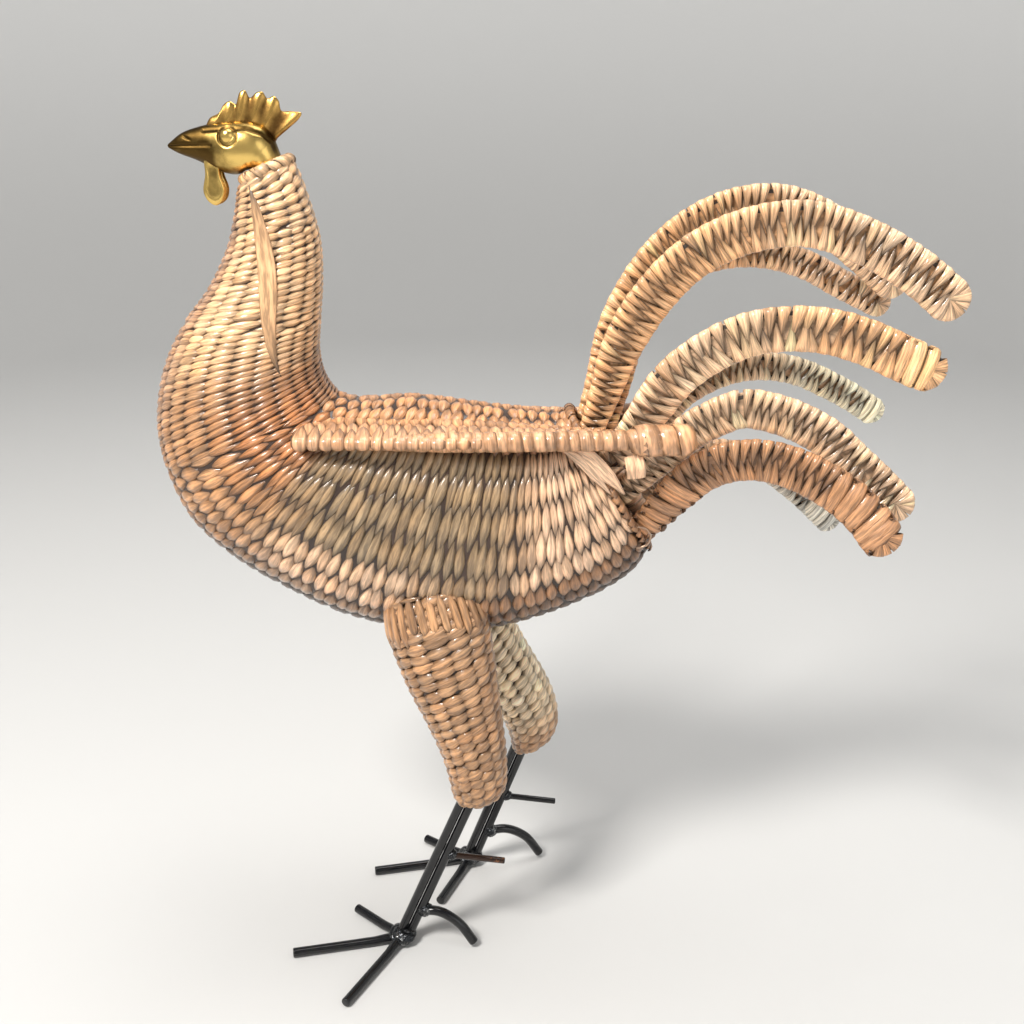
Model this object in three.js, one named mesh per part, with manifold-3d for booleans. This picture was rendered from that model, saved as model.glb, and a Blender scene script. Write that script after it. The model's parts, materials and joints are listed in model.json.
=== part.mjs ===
// A standing rooster of woven rush on a welded iron rod frame, with a hollow brass head.
// Millimetres, +Z up. The beak points to -Y, the tail to +Y, and the bird's left side is +X.

import * as THREE from 'three';
import { mergeVertices } from 'three/addons/utils/BufferGeometryUtils.js';
import ManifoldModule from 'manifold-3d';

const wasm = await ManifoldModule();
wasm.setup();

// Where the origin lies in the bird's own measuring frame, whose X = 0 is the mid-plane
const ORIGIN_X = 16.6;
const ORIGIN_Y = 23.47;

// Clearance between pieces that touch
const GAP = 0.3;

// Rod diameters
const LEG_ROD = 7;
const TOE_ROD = 8;
const SPUR_ROD = 5;
const FRAME_ROD = 5;
const HIP_BAR_ROD = 7;
const WING_ROD = 5;
const FEATHER_ROD = 4;

// Woven rush skin. It is grooved lengthwise, where the strands go under between their columns.
const BODY_WALL = 4.5;
const THIGH_WALL = 4.5;
const GROOVE_DEPTH = 1.8;

// Body and neck from the neck opening to the tail opening, one station a row:
// back y, back z, front y, front z, half width
const BODY_STATIONS = [
  [-152, 611, -179, 600, 15],
  [-146, 606, -187, 590, 20],
  [-137, 581, -190, 577, 25],
  [-131, 554, -197, 552, 28],
  [-131, 526, -212, 524, 32],
  [-134, 498, -233, 497, 36],
  [-136, 477, -250, 464, 41],
  [-133, 459, -258, 425, 47],
  [-125, 447, -254, 392, 53],
  [-115, 443, -238, 353, 58],
  [-98, 443, -208, 322, 61],
  [-77, 445, -169, 296, 62],
  [-52, 443, -128, 275, 62],
  [-23, 439, -79, 263, 61],
  [5, 436, -25, 261, 58],
  [24, 434, 27, 274, 53],
  [34, 434, 75, 296, 48],
  [39, 435, 95, 312, 43],
  [42, 435, 106, 331, 38],
];
const BODY_POWER = 2.2;
const BODY_RINGS = 25;
const BODY_COLUMNS = 24;

// Hoops and lengthwise rods inside the body, placed by station number
const NECK_TOP_STATION = 2;
const NECK_STATION = 3.6;
const SHOULDER_STATION = 8.6;
const BREAST_STATION = 11;
const HIP_BAR_STATION = 13;
const HIP_STATION = 15.2;
const TAIL_STATION = 16.9;
const STRINGER_START_STATION = 1.7;
const STRINGER_END_STATION = 17.3;
const HOOP_PLAY = 1.6;

// Brass head: upper profile y, z, lower profile y, z and half width, from the beak back
const HEAD_STATIONS = [
  [-231.5, 617, -231.5, 615, 1],
  [-222, 624, -224, 611, 4.5],
  [-211, 628, -212, 606.5, 7.5],
  [-202, 630, -203, 602, 10],
  [-190, 631.5, -195.5, 599, 13],
  [-177, 632, -188.5, 597.5, 14.5],
  [-166, 628.5, -184, 598, 14.5],
  [-159, 619.5, -180.5, 600, 13.5],
];
const HEAD_WALL = 2;
const HEAD_HOLLOW_FROM = 5;
const HEAD_SIDES = 14;
const COLLAR_HALF_LENGTH = 10.5;
const COLLAR_HALF_WIDTH = 11.5;
const COLLAR_DEPTH = 12;

const COMB_OUTLINE = [
  [-204, 629], [-201.5, 634], [-195.5, 637], [-191.5, 642.5], [-187.5, 644.5], [-183.5, 643],
  [-180.5, 650.5], [-177, 651.5], [-174, 647], [-169.5, 650], [-165.5, 650.5], [-162.5, 646.5],
  [-158, 648], [-155, 645], [-154, 638.5], [-140, 637], [-143, 632], [-153, 627], [-159, 618],
  [-170, 622], [-190, 625],
];
const COMB_THICKNESS = 7;
const COMB_BEVEL = 1.4;

const WATTLE_OUTLINE = [
  [-206, 612], [-207, 597.5], [-209, 586.5], [-206, 580], [-201, 577.5], [-195.5, 581],
  [-193.5, 588], [-196, 597.5], [-198, 612],
];
const WATTLE_THICKNESS = 4.4;
const WATTLE_X = 2.4;

const EYE_CENTRE = [9.4, -188.5, 622.5];
const EYE_RADIUS = 5.2;

// Legs. The hip is shared, and the right leg steps back. The swell is how far the lower
// half of the thigh bulges to the rear.
const HIP = { x: 38, y: -54, z: 275 };
const THIGH_BOTTOM_X = 43;
const KNEE_Z = 127;
const LEGS = {
  left: { side: 1, bottom: [-25, 133], swell: 4.5, shankY: -36.7, foot: [47.5, -88.5] },
  right: { side: -1, bottom: [18, 130], swell: 14, shankY: 6.8, foot: [-56, -37.5] },
};
const HOCK_Z = 146;
const SHANK_END_Z = 4;
const HOCK_BEND = 14;

// Thigh sleeve: share of the way from hip to bottom, half length fore and aft, half width
const THIGH_STATIONS = [
  [-0.26, 34, 17],
  [-0.1, 38, 24],
  [0, 38.5, 28],
  [0.25, 35, 27],
  [0.5, 29, 26],
  [0.75, 24.5, 24.5],
  [0.9, 22.5, 23],
  [0.97, 19.5, 20],
  [1, 14, 14],
];
const THIGH_COLUMNS = 14;
const THIGH_HOLLOW_TO = 6;

// Feet: direction in degrees from straight ahead toward +X, and length from the foot's centre
const TOES = {
  left: { outer: [63, 82], middle: [12, 88], inner: [-41, 55] },
  right: { outer: [-36, 51], middle: [12, 85], inner: [68, 63] },
};
const TOE_START = 9.5;
const TOE_LIFT = 1.5;
const TOE_LIFT_LENGTH = 22;
const WELD_RADIUS = 11;
const WELD_HEIGHT = 14;
const WELD_LIFT = 0.5;

// Hind toes: height of the weld on the shank, and how far back and aside the point lies.
// Spurs: height of the weld, reach to the rear and drop of the point.
const HIND_TOES = {
  left: { height: 30, reach: 43, aside: 7 },
  right: { height: 35, reach: 47, aside: -11 },
};
const SPUR_HEIGHTS = { left: 82, right: 74 };
const SPUR_REACH = 46;
const SPUR_DROP = 6;

// Wings. The rim runs straight from its front corner to the tip, and the deck slopes down to it
// from the back. The right wing hangs a little lower than the left one.
const WING_CORNER = { x: 61, y: -147, z: 425 };
const WING_TIP = { x: 44, y: 127, z: 423 };
const WING_ROOT_X = 20;
const WING_ROOT_REAR_X = 36;
const WING_ROOT_Z = 433;
const WING_ROOT_REAR_Z = 424;
const WING_DROOPS = { left: 0, right: 9 };
const WING_CORNER_BEND = 8;
const WING_RIM = 14;
const WING_TIP_BUNDLE = 22;
const WING_BUNDLE_LENGTH = 50;
const WING_DECK = 8;
const WING_DECK_END = 0.85;
const WING_SHOULDER_ANGLE = 58;

// Tail. Two bars stand in the tail ring, and each carries the four feathers of its side
const TAIL_BAR_X = 10;
const FEATHER_HALF_THICKNESS = 5.5;
const FEATHER_WALL = 2;
const FEATHER_EDGE = 3;
const FEATHER_STEPS = 10;
const FEATHER_FLARE = 0.3;
const FEATHER_SPREAD = 20;

// One feather a row: share of the way down the bar, tip x, how soon it bows out toward the tip,
// root width, full width and points y, z. It reaches its full width within the flare's share.
const FEATHERS = {
  left_top_feather: {
    seat: 0.15, tipX: 50, bow: 1, root: 18, full: 31,
    path: [[65, 448], [75, 481], [93, 515], [121, 546], [156, 564], [194, 569], [232, 558],
      [268, 538], [300, 512]],
  },
  left_upper_feather: {
    seat: 0.37, tipX: 50, bow: 1, root: 19, full: 32,
    path: [[91, 428], [113, 462], [135, 481], [160, 494], [186, 499], [214, 498], [240, 491],
      [266, 480], [293, 469]],
  },
  left_middle_feather: {
    seat: 0.6, tipX: 44, bow: 1, root: 17, full: 29,
    path: [[108.5, 404.5], [127.5, 423.5], [146, 435], [162, 441], [181, 439], [202, 432], [222, 421],
      [240, 405], [258, 389], [281, 366]],
  },
  left_lower_feather: {
    seat: 0.855, tipX: 70, bow: 1, root: 20, full: 31,
    path: [[99.5, 353], [115, 374], [134, 395], [153, 405], [173, 408], [195, 404], [216, 395],
      [235, 383], [250, 368], [264, 348]],
  },
  right_top_feather: {
    seat: 0.15, tipX: -44, bow: 1, root: 18, full: 30,
    path: [[65, 450], [74, 483], [88, 513], [106, 539], [131, 560], [160, 572], [191, 574],
      [223, 563], [254, 541], [290, 511]],
  },
  right_upper_feather: {
    seat: 0.37, tipX: -58, bow: 0.5, root: 18, full: 22,
    path: [[78, 440], [89, 479], [108, 511], [132, 530], [160, 538], [190, 537], [218, 529],
      [247, 514], [284, 496]],
  },
  right_middle_feather: {
    seat: 0.6, tipX: -52, bow: 1, root: 18, full: 22,
    path: [[104, 408], [126, 436], [150, 450], [172, 456], [195, 456], [217, 451], [239, 441],
      [261, 429], [285, 413]],
  },
  right_lower_feather: {
    seat: 0.85, tipX: -52, bow: 1, root: 20, full: 22,
    path: [[100, 362], [122, 381], [150, 391], [185, 384], [218, 361], [243, 338], [258, 322]],
  },
};

// Rush binding between the two rows of feathers, measured along the bar and out of the opening
const BINDING_FROM = 0.16;
const BINDING_TO = 0.86;
const BINDING_INSIDE = 3;
const BINDING_OUTSIDE = 13;

// Facets
const ROD_SIDES = 6;
const FRAME_SIDES = 5;
const TOE_SIDES = 8;
const HOOP_SIDES = 20;
const STRINGER_STEP_STATIONS = 1.2;

const FINISHES = {
  iron: { color: 0x0d0d0e, roughness: 0.22, metalness: 0.6 },
  frame: { color: 0x3a332d, roughness: 0.7, metalness: 0.7 },
  brass: { color: 0xa8853a, roughness: 0.32, metalness: 1 },
  rush: { color: 0xc99468, roughness: 0.5, metalness: 0 },
  paleRush: { color: 0xd6ae80, roughness: 0.5, metalness: 0 },
};

const rooster = new THREE.Group();
rooster.position.set(-ORIGIN_X, -ORIGIN_Y, 0);

function addPiece(name, geometry, finish) {
  const mesh = new THREE.Mesh(geometry, new THREE.MeshStandardMaterial(FINISHES[finish]));
  mesh.name = name;
  rooster.add(mesh);
}

// Geometry helpers

const vec = (x, y, z) => new THREE.Vector3(x, y, z);
const ACROSS = vec(1, 0, 0);
const UP = vec(0, 0, 1);

function signedVolume(positions, index) {
  const [a, b, c] = [vec(), vec(), vec()];
  let sum = 0;
  for (let i = 0; i < index.length; i += 3) {
    a.fromArray(positions, 3 * index[i]);
    b.fromArray(positions, 3 * index[i + 1]);
    c.fromArray(positions, 3 * index[i + 2]);
    sum += a.dot(b.cross(c));
  }
  return sum / 6;
}

// A closed skin through rings of equally many points. It is capped at its first and last ring,
// or joined round from the last ring to the first.
function skin(rings, joined = false) {
  const sides = rings[0].length;
  const positions = rings.flat().flatMap((p) => [p.x, p.y, p.z]);
  const index = [];
  const bands = joined ? rings.length : rings.length - 1;
  for (let r = 0; r < bands; r += 1) {
    const here = r * sides;
    const next = ((r + 1) % rings.length) * sides;
    for (let i = 0; i < sides; i += 1) {
      const j = (i + 1) % sides;
      index.push(here + i, here + j, next + j, here + i, next + j, next + i);
    }
  }
  if (!joined) {
    const last = (rings.length - 1) * sides;
    for (let i = 1; i < sides - 1; i += 1) {
      index.push(0, i + 1, i);
      index.push(last, last + i, last + i + 1);
    }
  }
  if (signedVolume(positions, index) < 0) {
    index.reverse();
  }
  const geometry = new THREE.BufferGeometry();
  geometry.setAttribute('position', new THREE.Float32BufferAttribute(positions, 3));
  geometry.setIndex(index);
  return geometry;
}

// Directions along a line of points: halfway between the runs before and after each point
function tangents(points, joined) {
  const count = points.length;
  return points.map((point, i) => {
    const before = joined ? points[(i + count - 1) % count] : points[Math.max(i - 1, 0)];
    const after = joined ? points[(i + 1) % count] : points[Math.min(i + 1, count - 1)];
    const arriving = point.clone().sub(before).normalize();
    const leaving = after.clone().sub(point).normalize();
    return arriving.add(leaving).normalize();
  });
}

// Rings of a section carried along points. The section's first axis lies along the given side
// direction, and its second is square to that and to the line.
function carriedRings(points, sectionAt, side, joined = false) {
  const directions = tangents(points, joined);
  return points.map((point, i) => {
    const first = side.clone().projectOnPlane(directions[i]).normalize();
    const second = directions[i].clone().cross(first);
    return sectionAt(i).map(([a, b]) => (
      point.clone().addScaledVector(first, a).addScaledVector(second, b)));
  });
}

// A regular polygon whose facets touch the circle of the given diameter from inside
function roundSection(diameter, sides = ROD_SIDES) {
  const corners = [];
  for (let i = 0; i < sides; i += 1) {
    const angle = ((i + 0.5) * 2 * Math.PI) / sides;
    corners.push([Math.cos(angle) * diameter / 2, Math.sin(angle) * diameter / 2]);
  }
  return corners;
}

function rod(points, diameter, side = ACROSS, { sides = ROD_SIDES, joined = false } = {}) {
  const section = roundSection(diameter, sides);
  return skin(carriedRings(points, () => section, side, joined), joined);
}

// A line through corners, with each inner corner rounded by a short curve
function bentLine(corners, radius, steps = 3) {
  const points = [corners[0]];
  for (let i = 1; i < corners.length - 1; i += 1) {
    const corner = corners[i];
    const start = corner.clone().add(
      corners[i - 1].clone().sub(corner).setLength(radius));
    const end = corner.clone().add(corners[i + 1].clone().sub(corner).setLength(radius));
    points.push(...new THREE.QuadraticBezierCurve3(start, corner, end).getPoints(steps));
  }
  points.push(corners[corners.length - 1]);
  return points;
}

const smoothLine = (points) => new THREE.CatmullRomCurve3(points);

function solidOf(geometry) {
  const bare = new THREE.BufferGeometry();
  bare.setAttribute('position', geometry.getAttribute('position').clone());
  if (geometry.index) {
    bare.setIndex(geometry.index.clone());
  }
  const merged = mergeVertices(bare);
  return new wasm.Manifold(new wasm.Mesh({
    numProp: 3,
    vertProperties: merged.getAttribute('position').array,
    triVerts: new Uint32Array(merged.index.array),
  }));
}

function geometryOf(solid) {
  const mesh = solid.getMesh();
  const geometry = new THREE.BufferGeometry();
  geometry.setAttribute('position', new THREE.Float32BufferAttribute(mesh.vertProperties, 3));
  geometry.setIndex(Array.from(mesh.triVerts));
  return geometry;
}

const cut = (geometry, ...tools) => (
  geometryOf(tools.reduce((solid, tool) => solid.subtract(solidOf(tool)), solidOf(geometry))));
const join = (first, second) => geometryOf(solidOf(first).add(solidOf(second)));

// A plate in the mid-plane, drawn as y, z, with its thickness centred on the given x
function plate(outline, thickness, centreX, bevel = 0) {
  const shape = new THREE.Shape(outline.map(([y, z]) => new THREE.Vector2(y, z)));
  const geometry = new THREE.ExtrudeGeometry(shape, {
    depth: thickness - 2 * bevel,
    bevelEnabled: bevel > 0,
    bevelThickness: bevel,
    bevelSize: bevel,
    bevelOffset: -bevel,
    bevelSegments: 1,
  });
  geometry.translate(0, 0, bevel - thickness / 2);
  geometry.applyMatrix4(new THREE.Matrix4().makeBasis(vec(0, 1, 0), UP, ACROSS));
  return geometry.translate(centreX, 0, 0);
}

// Body surface

const lastStation = BODY_STATIONS.length - 1;
const backLine = smoothLine(BODY_STATIONS.map(([y, z]) => vec(0, y, z)));
const frontLine = smoothLine(BODY_STATIONS.map((row) => vec(0, row[2], row[3])));
const widthLine = smoothLine(BODY_STATIONS.map((row) => vec(row[4], 0, 0)));

function bodyFrame(station) {
  const t = station / lastStation;
  const back = backLine.getPoint(t);
  const front = frontLine.getPoint(t);
  return {
    centre: back.clone().add(front).multiplyScalar(0.5),
    toBack: back.clone().sub(front).normalize(),
    halfLength: back.distanceTo(front) / 2,
    halfWidth: widthLine.getPoint(t).x,
  };
}

const roundedShare = (value, power) => Math.sign(value) * Math.abs(value) ** (2 / power);

// A point of the body's section: 0 degrees is the back, 90 the bird's left side
function bodyPoint(station, degrees, inset) {
  const frame = bodyFrame(station);
  const angle = THREE.MathUtils.degToRad(degrees);
  const along = roundedShare(Math.cos(angle), BODY_POWER) * (frame.halfLength - inset);
  const aside = roundedShare(Math.sin(angle), BODY_POWER) * (frame.halfWidth - inset);
  return frame.centre.clone().addScaledVector(frame.toBack, along).setX(aside);
}

// Every second point of a grooved section lies in a groove
const grooveAt = (number, depth) => (number % 2 === 0 ? depth : 0);
const bodySides = 2 * BODY_COLUMNS;

function bodyRing(station, inset, depth) {
  const ring = [];
  for (let i = 0; i < bodySides; i += 1) {
    ring.push(bodyPoint(station, (i * 360) / bodySides, inset + grooveAt(i, depth)));
  }
  return ring;
}

function bodyRings(inset, depth = GROOVE_DEPTH) {
  const rings = [];
  for (let r = 0; r < BODY_RINGS; r += 1) {
    rings.push(bodyRing((r * lastStation) / (BODY_RINGS - 1), inset, depth));
  }
  return rings;
}

const bodyOutside = skin(bodyRings(-GAP));

// Head collar, which stands in the neck opening

const neckTop = bodyFrame(0);
const collarAxis = neckTop.toBack.clone().cross(ACROSS).normalize();

function collarRing(depth, clearance, sides) {
  const centre = neckTop.centre.clone().addScaledVector(collarAxis, depth);
  const ring = [];
  for (let i = 0; i < sides; i += 1) {
    const angle = (i * 2 * Math.PI) / sides;
    const along = Math.cos(angle) * (COLLAR_HALF_LENGTH + clearance);
    const aside = Math.sin(angle) * (COLLAR_HALF_WIDTH + clearance);
    ring.push(centre.clone().addScaledVector(neckTop.toBack, along).setX(aside));
  }
  return ring;
}

// Hoops stand inside the body wall, and the lengthwise rods lie across them on their inner side

const hoopInset = BODY_WALL + HOOP_PLAY + FRAME_ROD / 2;

function stringerPoint(station, degrees) {
  const step = 0.05;
  const here = bodyPoint(station, degrees, hoopInset);
  const ahead = bodyPoint(station + step, degrees, hoopInset);
  const hoopAxis = bodyFrame(station).toBack.clone().cross(ACROSS);
  const slant = Math.abs(ahead.sub(here).normalize().dot(hoopAxis));
  return bodyPoint(station, degrees, hoopInset + (FRAME_ROD + GAP) / slant);
}

// Leg rods: from the foot up to the hock inside the thigh, then to the hip bar

const hipBarPoint = stringerPoint(HIP_BAR_STATION, 90);

function legLine(leg, offset) {
  const [footX, footY] = leg.foot;
  const hipX = leg.side * HIP.x;
  const hockX = leg.side * THIGH_BOTTOM_X;
  const rise = KNEE_Z - SHANK_END_Z;
  const lean = (leg.shankY - footY) / rise;
  const hockY = footY + lean * (HOCK_Z - SHANK_END_Z);
  const corners = [
    vec(footX, footY, SHANK_END_Z),
    vec(hockX, hockY, HOCK_Z),
    vec(hipX, HIP.y, HIP.z),
    vec(hipX, hipBarPoint.y, hipBarPoint.z - HIP_BAR_ROD / 2 - GAP),
  ];
  const line = bentLine(corners, HOCK_BEND, 2);
  return line.map((point, i) => {
    const direction = tangents(line, false)[i].setX(0).normalize();
    return point.clone().addScaledVector(vec(0, direction.z, -direction.y), offset);
  });
}

const rodSpacing = (LEG_ROD + GAP) / 2;

function legRods(leg, extra = 0) {
  return {
    front: rod(legLine(leg, -rodSpacing), LEG_ROD + extra),
    rear: rod(legLine(leg, rodSpacing), LEG_ROD + extra),
  };
}

// Wing frame: out of the shoulder hoop, round the front corner and along the rim to the tip

const SIDES = { left: 1, right: -1 };

const wingPoint = ({ x, y, z }, name) => vec(SIDES[name] * x, y, z - WING_DROOPS[name]);

function wingLine(name) {
  const side = SIDES[name];
  const shoulder = bodyPoint(SHOULDER_STATION, side * WING_SHOULDER_ANGLE, hoopInset)
    .addScaledVector(ACROSS, side * ((FRAME_ROD + WING_ROD) / 2 + GAP));
  const tip = wingPoint({ ...WING_TIP, y: WING_TIP.y - WING_TIP_BUNDLE / 2 }, name);
  return bentLine([shoulder, wingPoint(WING_CORNER, name), tip], WING_CORNER_BEND);
}

// Where the deck leaves the back, by share of the way from the front corner to the tip
function wingRoot(name, share) {
  const y = THREE.MathUtils.lerp(WING_CORNER.y, WING_TIP.y, share);
  const z = THREE.MathUtils.lerp(WING_ROOT_Z, WING_ROOT_REAR_Z, share);
  const x = THREE.MathUtils.lerp(WING_ROOT_X, WING_ROOT_REAR_X, share ** 2);
  return wingPoint({ x, y, z }, name);
}

// Rim roll of the wing: plain along the edge, thicker and rounded off at the tip
function wingRim(name) {
  const corner = wingPoint(WING_CORNER, name);
  const tip = wingPoint(WING_TIP, name);
  const bundleStart = tip.clone().add(
    corner.clone().sub(tip).setLength(WING_BUNDLE_LENGTH));
  const edge = bentLine([wingRoot(name, 0), corner, bundleStart], WING_CORNER_BEND);
  const shares = [0.15, 0.82, 0.94, 1];
  const thicknesses = [1, 1, 0.8, 0.4];
  const points = [...edge, ...shares.map((share) => bundleStart.clone().lerp(tip, share))];
  const sizes = [...edge.map(() => WING_RIM), ...thicknesses.map((part) => part * WING_TIP_BUNDLE)];
  return skin(carriedRings(points, (i) => roundSection(sizes[i], TOE_SIDES), UP));
}

// Woven deck between the back and the rim, narrowing toward the tip
function wingDeck(name) {
  const corner = wingPoint(WING_CORNER, name);
  const tip = wingPoint(WING_TIP, name);
  const rings = [0, WING_DECK_END / 2, WING_DECK_END].map((share) => {
    const rim = corner.clone().lerp(tip, share);
    const root = wingRoot(name, share).lerp(rim, share ** 4);
    const raised = (point, part) => point.clone().addScaledVector(UP, part * WING_DECK);
    return [raised(root, 0.5), raised(rim, 0.5), raised(rim, -0.5), raised(root, -0.5)];
  });
  return skin(rings);
}

// Tail bars stand in the plane of the tail ring

function tailBarPoint(side, share, reach) {
  const frame = bodyFrame(TAIL_STATION);
  const x = TAIL_BAR_X;
  const halfWidth = frame.halfWidth - hoopInset;
  const room = (frame.halfLength - hoopInset)
    * (1 - (x / halfWidth) ** BODY_POWER) ** (1 / BODY_POWER);
  const half = room - reach;
  return frame.centre.clone()
    .addScaledVector(frame.toBack, half * (1 - 2 * share))
    .setX(side * x);
}

const barReach = FRAME_ROD + 3 * GAP;

// Feathers. Their rods lap the outer side of the bars, flat to flat.

const featherRootX = TAIL_BAR_X + (FRAME_ROD + FEATHER_ROD) / 2;
const easeIn = (share) => THREE.MathUtils.smoothstep(share, 0, 1);

// A feather's centre line, the half width of its rush band and the stops along both
function featherPlan(feather) {
  const rootX = Math.sign(feather.tipX) * featherRootX;
  const seat = tailBarPoint(1, feather.seat, barReach);
  const flat = smoothLine([seat.clone().setX(0), ...feather.path.map(([y, z]) => vec(0, y, z))]);
  const fullHalf = feather.full / 2;
  const length = flat.getLength();
  const tipCentre = length - fullHalf;
  const place = (distance) => {
    const share = Math.min(distance / length, 1);
    return flat.getPointAt(share).setX(
      THREE.MathUtils.lerp(rootX, feather.tipX, share ** feather.bow));
  };
  const halfAt = (distance) => THREE.MathUtils.lerp(
    feather.root / 2, fullHalf, easeIn(distance / (FEATHER_FLARE * length)));
  const barDirection = tailBarPoint(1, 1, barReach).sub(tailBarPoint(1, 0, barReach));
  const meeting = barDirection.angleTo(flat.getTangentAt(0));
  const bandStart = (FRAME_ROD / 2 + GAP + (feather.root / 2) * Math.abs(Math.cos(meeting)))
    / Math.sin(meeting);
  const stops = [0, bandStart];
  for (let i = 1; i <= FEATHER_STEPS; i += 1) {
    const stop = (tipCentre * i) / FEATHER_STEPS;
    if (stop > 2 * bandStart) {
      stops.push(stop);
    }
  }
  return { tipCentre, stops, place, halfAt, fullHalf, bandStart };
}

// Eight corners of a band lying edge-on to the line
function bandSection(halfWidth, halfThickness) {
  const edge = Math.min(FEATHER_EDGE, halfWidth / 2);
  const corners = [[halfWidth, halfThickness - edge], [halfWidth - edge, halfThickness]];
  const mirrored = corners.map(([w, t]) => [-w, t]).reverse();
  const upper = [...corners, ...mirrored];
  const lower = upper.map(([w, t]) => [w, -t]).reverse();
  return [...upper, ...lower].map(([w, t]) => [t, w]);
}

const TIP_ANGLES = [30, 55, 75].map(THREE.MathUtils.degToRad);

// Stops and half widths of one wall of the band, rounded off round the tip's centre
function bandStops(plan, inset) {
  const rows = plan.stops.slice(1).map((distance) => [distance, plan.halfAt(distance) - inset]);
  const radius = plan.fullHalf - inset;
  for (const angle of TIP_ANGLES) {
    rows.push([plan.tipCentre + radius * Math.sin(angle), radius * Math.cos(angle)]);
  }
  return rows;
}

function bandRings(plan, inset) {
  const rows = bandStops(plan, inset);
  return carriedRings(
    rows.map(([distance]) => plan.place(distance)),
    (i) => bandSection(rows[i][1], FEATHER_HALF_THICKNESS - inset),
    ACROSS,
  );
}

// The band is a flattened sleeve, open at the root and closed at the tip
function featherBand(plan) {
  return skin([...bandRings(plan, FEATHER_WALL).reverse(), ...bandRings(plan, 0)]);
}

// Two rods side by side at the bar, spread inside the band and joined round the tip
function featherLoop(plan) {
  const play = 0.5;
  const spreadAt = (distance) => THREE.MathUtils.lerp(
    FEATHER_ROD / 2 + GAP,
    plan.halfAt(distance) - FEATHER_WALL - play - FEATHER_ROD / 2,
    easeIn((distance - plan.bandStart) / FEATHER_SPREAD),
  );
  const centres = plan.stops.map((distance) => plan.place(distance));
  const directions = tangents(centres, false);
  const normals = directions.map((direction) => direction.clone().cross(ACROSS).normalize());
  const along = (sign) => centres.map((centre, i) => (
    centre.clone().addScaledVector(normals[i], sign * spreadAt(plan.stops[i]))));
  const last = centres.length - 1;
  const radius = spreadAt(plan.tipCentre);
  const turn = [45, 90, 135].map((degrees) => {
    const angle = THREE.MathUtils.degToRad(degrees);
    return centres[last].clone()
      .addScaledVector(normals[last], radius * Math.cos(angle))
      .addScaledVector(directions[last], radius * Math.sin(angle));
  });
  const line = [...along(1), ...turn, ...along(-1).reverse()];
  return rod(line, FEATHER_ROD, ACROSS, { sides: FRAME_SIDES });
}

// Body weave: outer skin down to the tail opening and inner skin back up to the neck opening

const innerRings = bodyRings(BODY_WALL, 0).slice(2).reverse();
innerRings.push(collarRing(1.2 * BODY_WALL, GAP, bodySides));
innerRings.push(collarRing(0, GAP, bodySides));
const bodyShell = skin([...bodyRings(0), ...innerRings], true);

const legNames = Object.keys(LEGS);
const wideLegRods = legNames.flatMap((name) => {
  const rods = legRods(LEGS[name], 2 * GAP);
  return [rods.front, rods.rear];
});
const wideWingFrames = Object.fromEntries(legNames.map((name) => (
  [name, rod(wingLine(name), WING_ROD + 2 * GAP, UP)])));

const bodyCutters = [...wideLegRods, ...Object.values(wideWingFrames)];
addPiece('body_weave', cut(bodyShell, ...bodyCutters), 'rush');

// Thigh weaves

function thighRing(leg, station, inset) {
  const [share, halfLength, halfWidth] = station;
  const top = vec(leg.side * HIP.x, HIP.y, HIP.z);
  const bottom = vec(leg.side * THIGH_BOTTOM_X, ...leg.bottom);
  const axis = bottom.clone().sub(top).normalize();
  const forward = axis.clone().cross(ACROSS);
  const bulge = leg.swell * Math.sin(Math.PI * THREE.MathUtils.clamp(share, 0, 1) ** 2);
  const centre = top.clone().lerp(bottom, share)
    .add(vec(0, bulge, 0));
  const ring = [];
  const sides = 2 * THIGH_COLUMNS;
  for (let i = 0; i < sides; i += 1) {
    const angle = (i * 2 * Math.PI) / sides;
    const depth = inset + grooveAt(i, GROOVE_DEPTH);
    ring.push(centre.clone()
      .addScaledVector(forward, Math.cos(angle) * (halfLength - depth))
      .addScaledVector(ACROSS, Math.sin(angle) * (halfWidth - depth)));
  }
  return ring;
}

for (const name of legNames) {
  const leg = LEGS[name];
  const outer = skin(THIGH_STATIONS.map((station) => thighRing(leg, station, 0)));
  const hollow = skin(THIGH_STATIONS.slice(0, THIGH_HOLLOW_TO + 1)
    .map((station) => thighRing(leg, station, THIGH_WALL)));
  const rods = legRods(leg, 2 * GAP);
  addPiece(`${name}_thigh_weave`, cut(outer, bodyOutside, hollow, rods.front, rods.rear), 'paleRush');
}

// Legs and feet

function toeLine(foot, [degrees, length]) {
  const angle = THREE.MathUtils.degToRad(degrees);
  const direction = vec(Math.sin(angle), -Math.cos(angle), 0);
  const height = (TOE_ROD / 2) * Math.cos(Math.PI / TOE_SIDES);
  const at = (distance, lift) => vec(foot[0], foot[1], height + lift)
    .addScaledVector(direction, distance);
  return [at(TOE_START, TOE_LIFT), at(TOE_LIFT_LENGTH, 0), at(length, 0)];
}

function shankPoint(leg, height) {
  const line = legLine(leg, rodSpacing);
  const share = (height - line[0].z) / (line[1].z - line[0].z);
  return line[0].clone().lerp(line[1], share);
}

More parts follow.
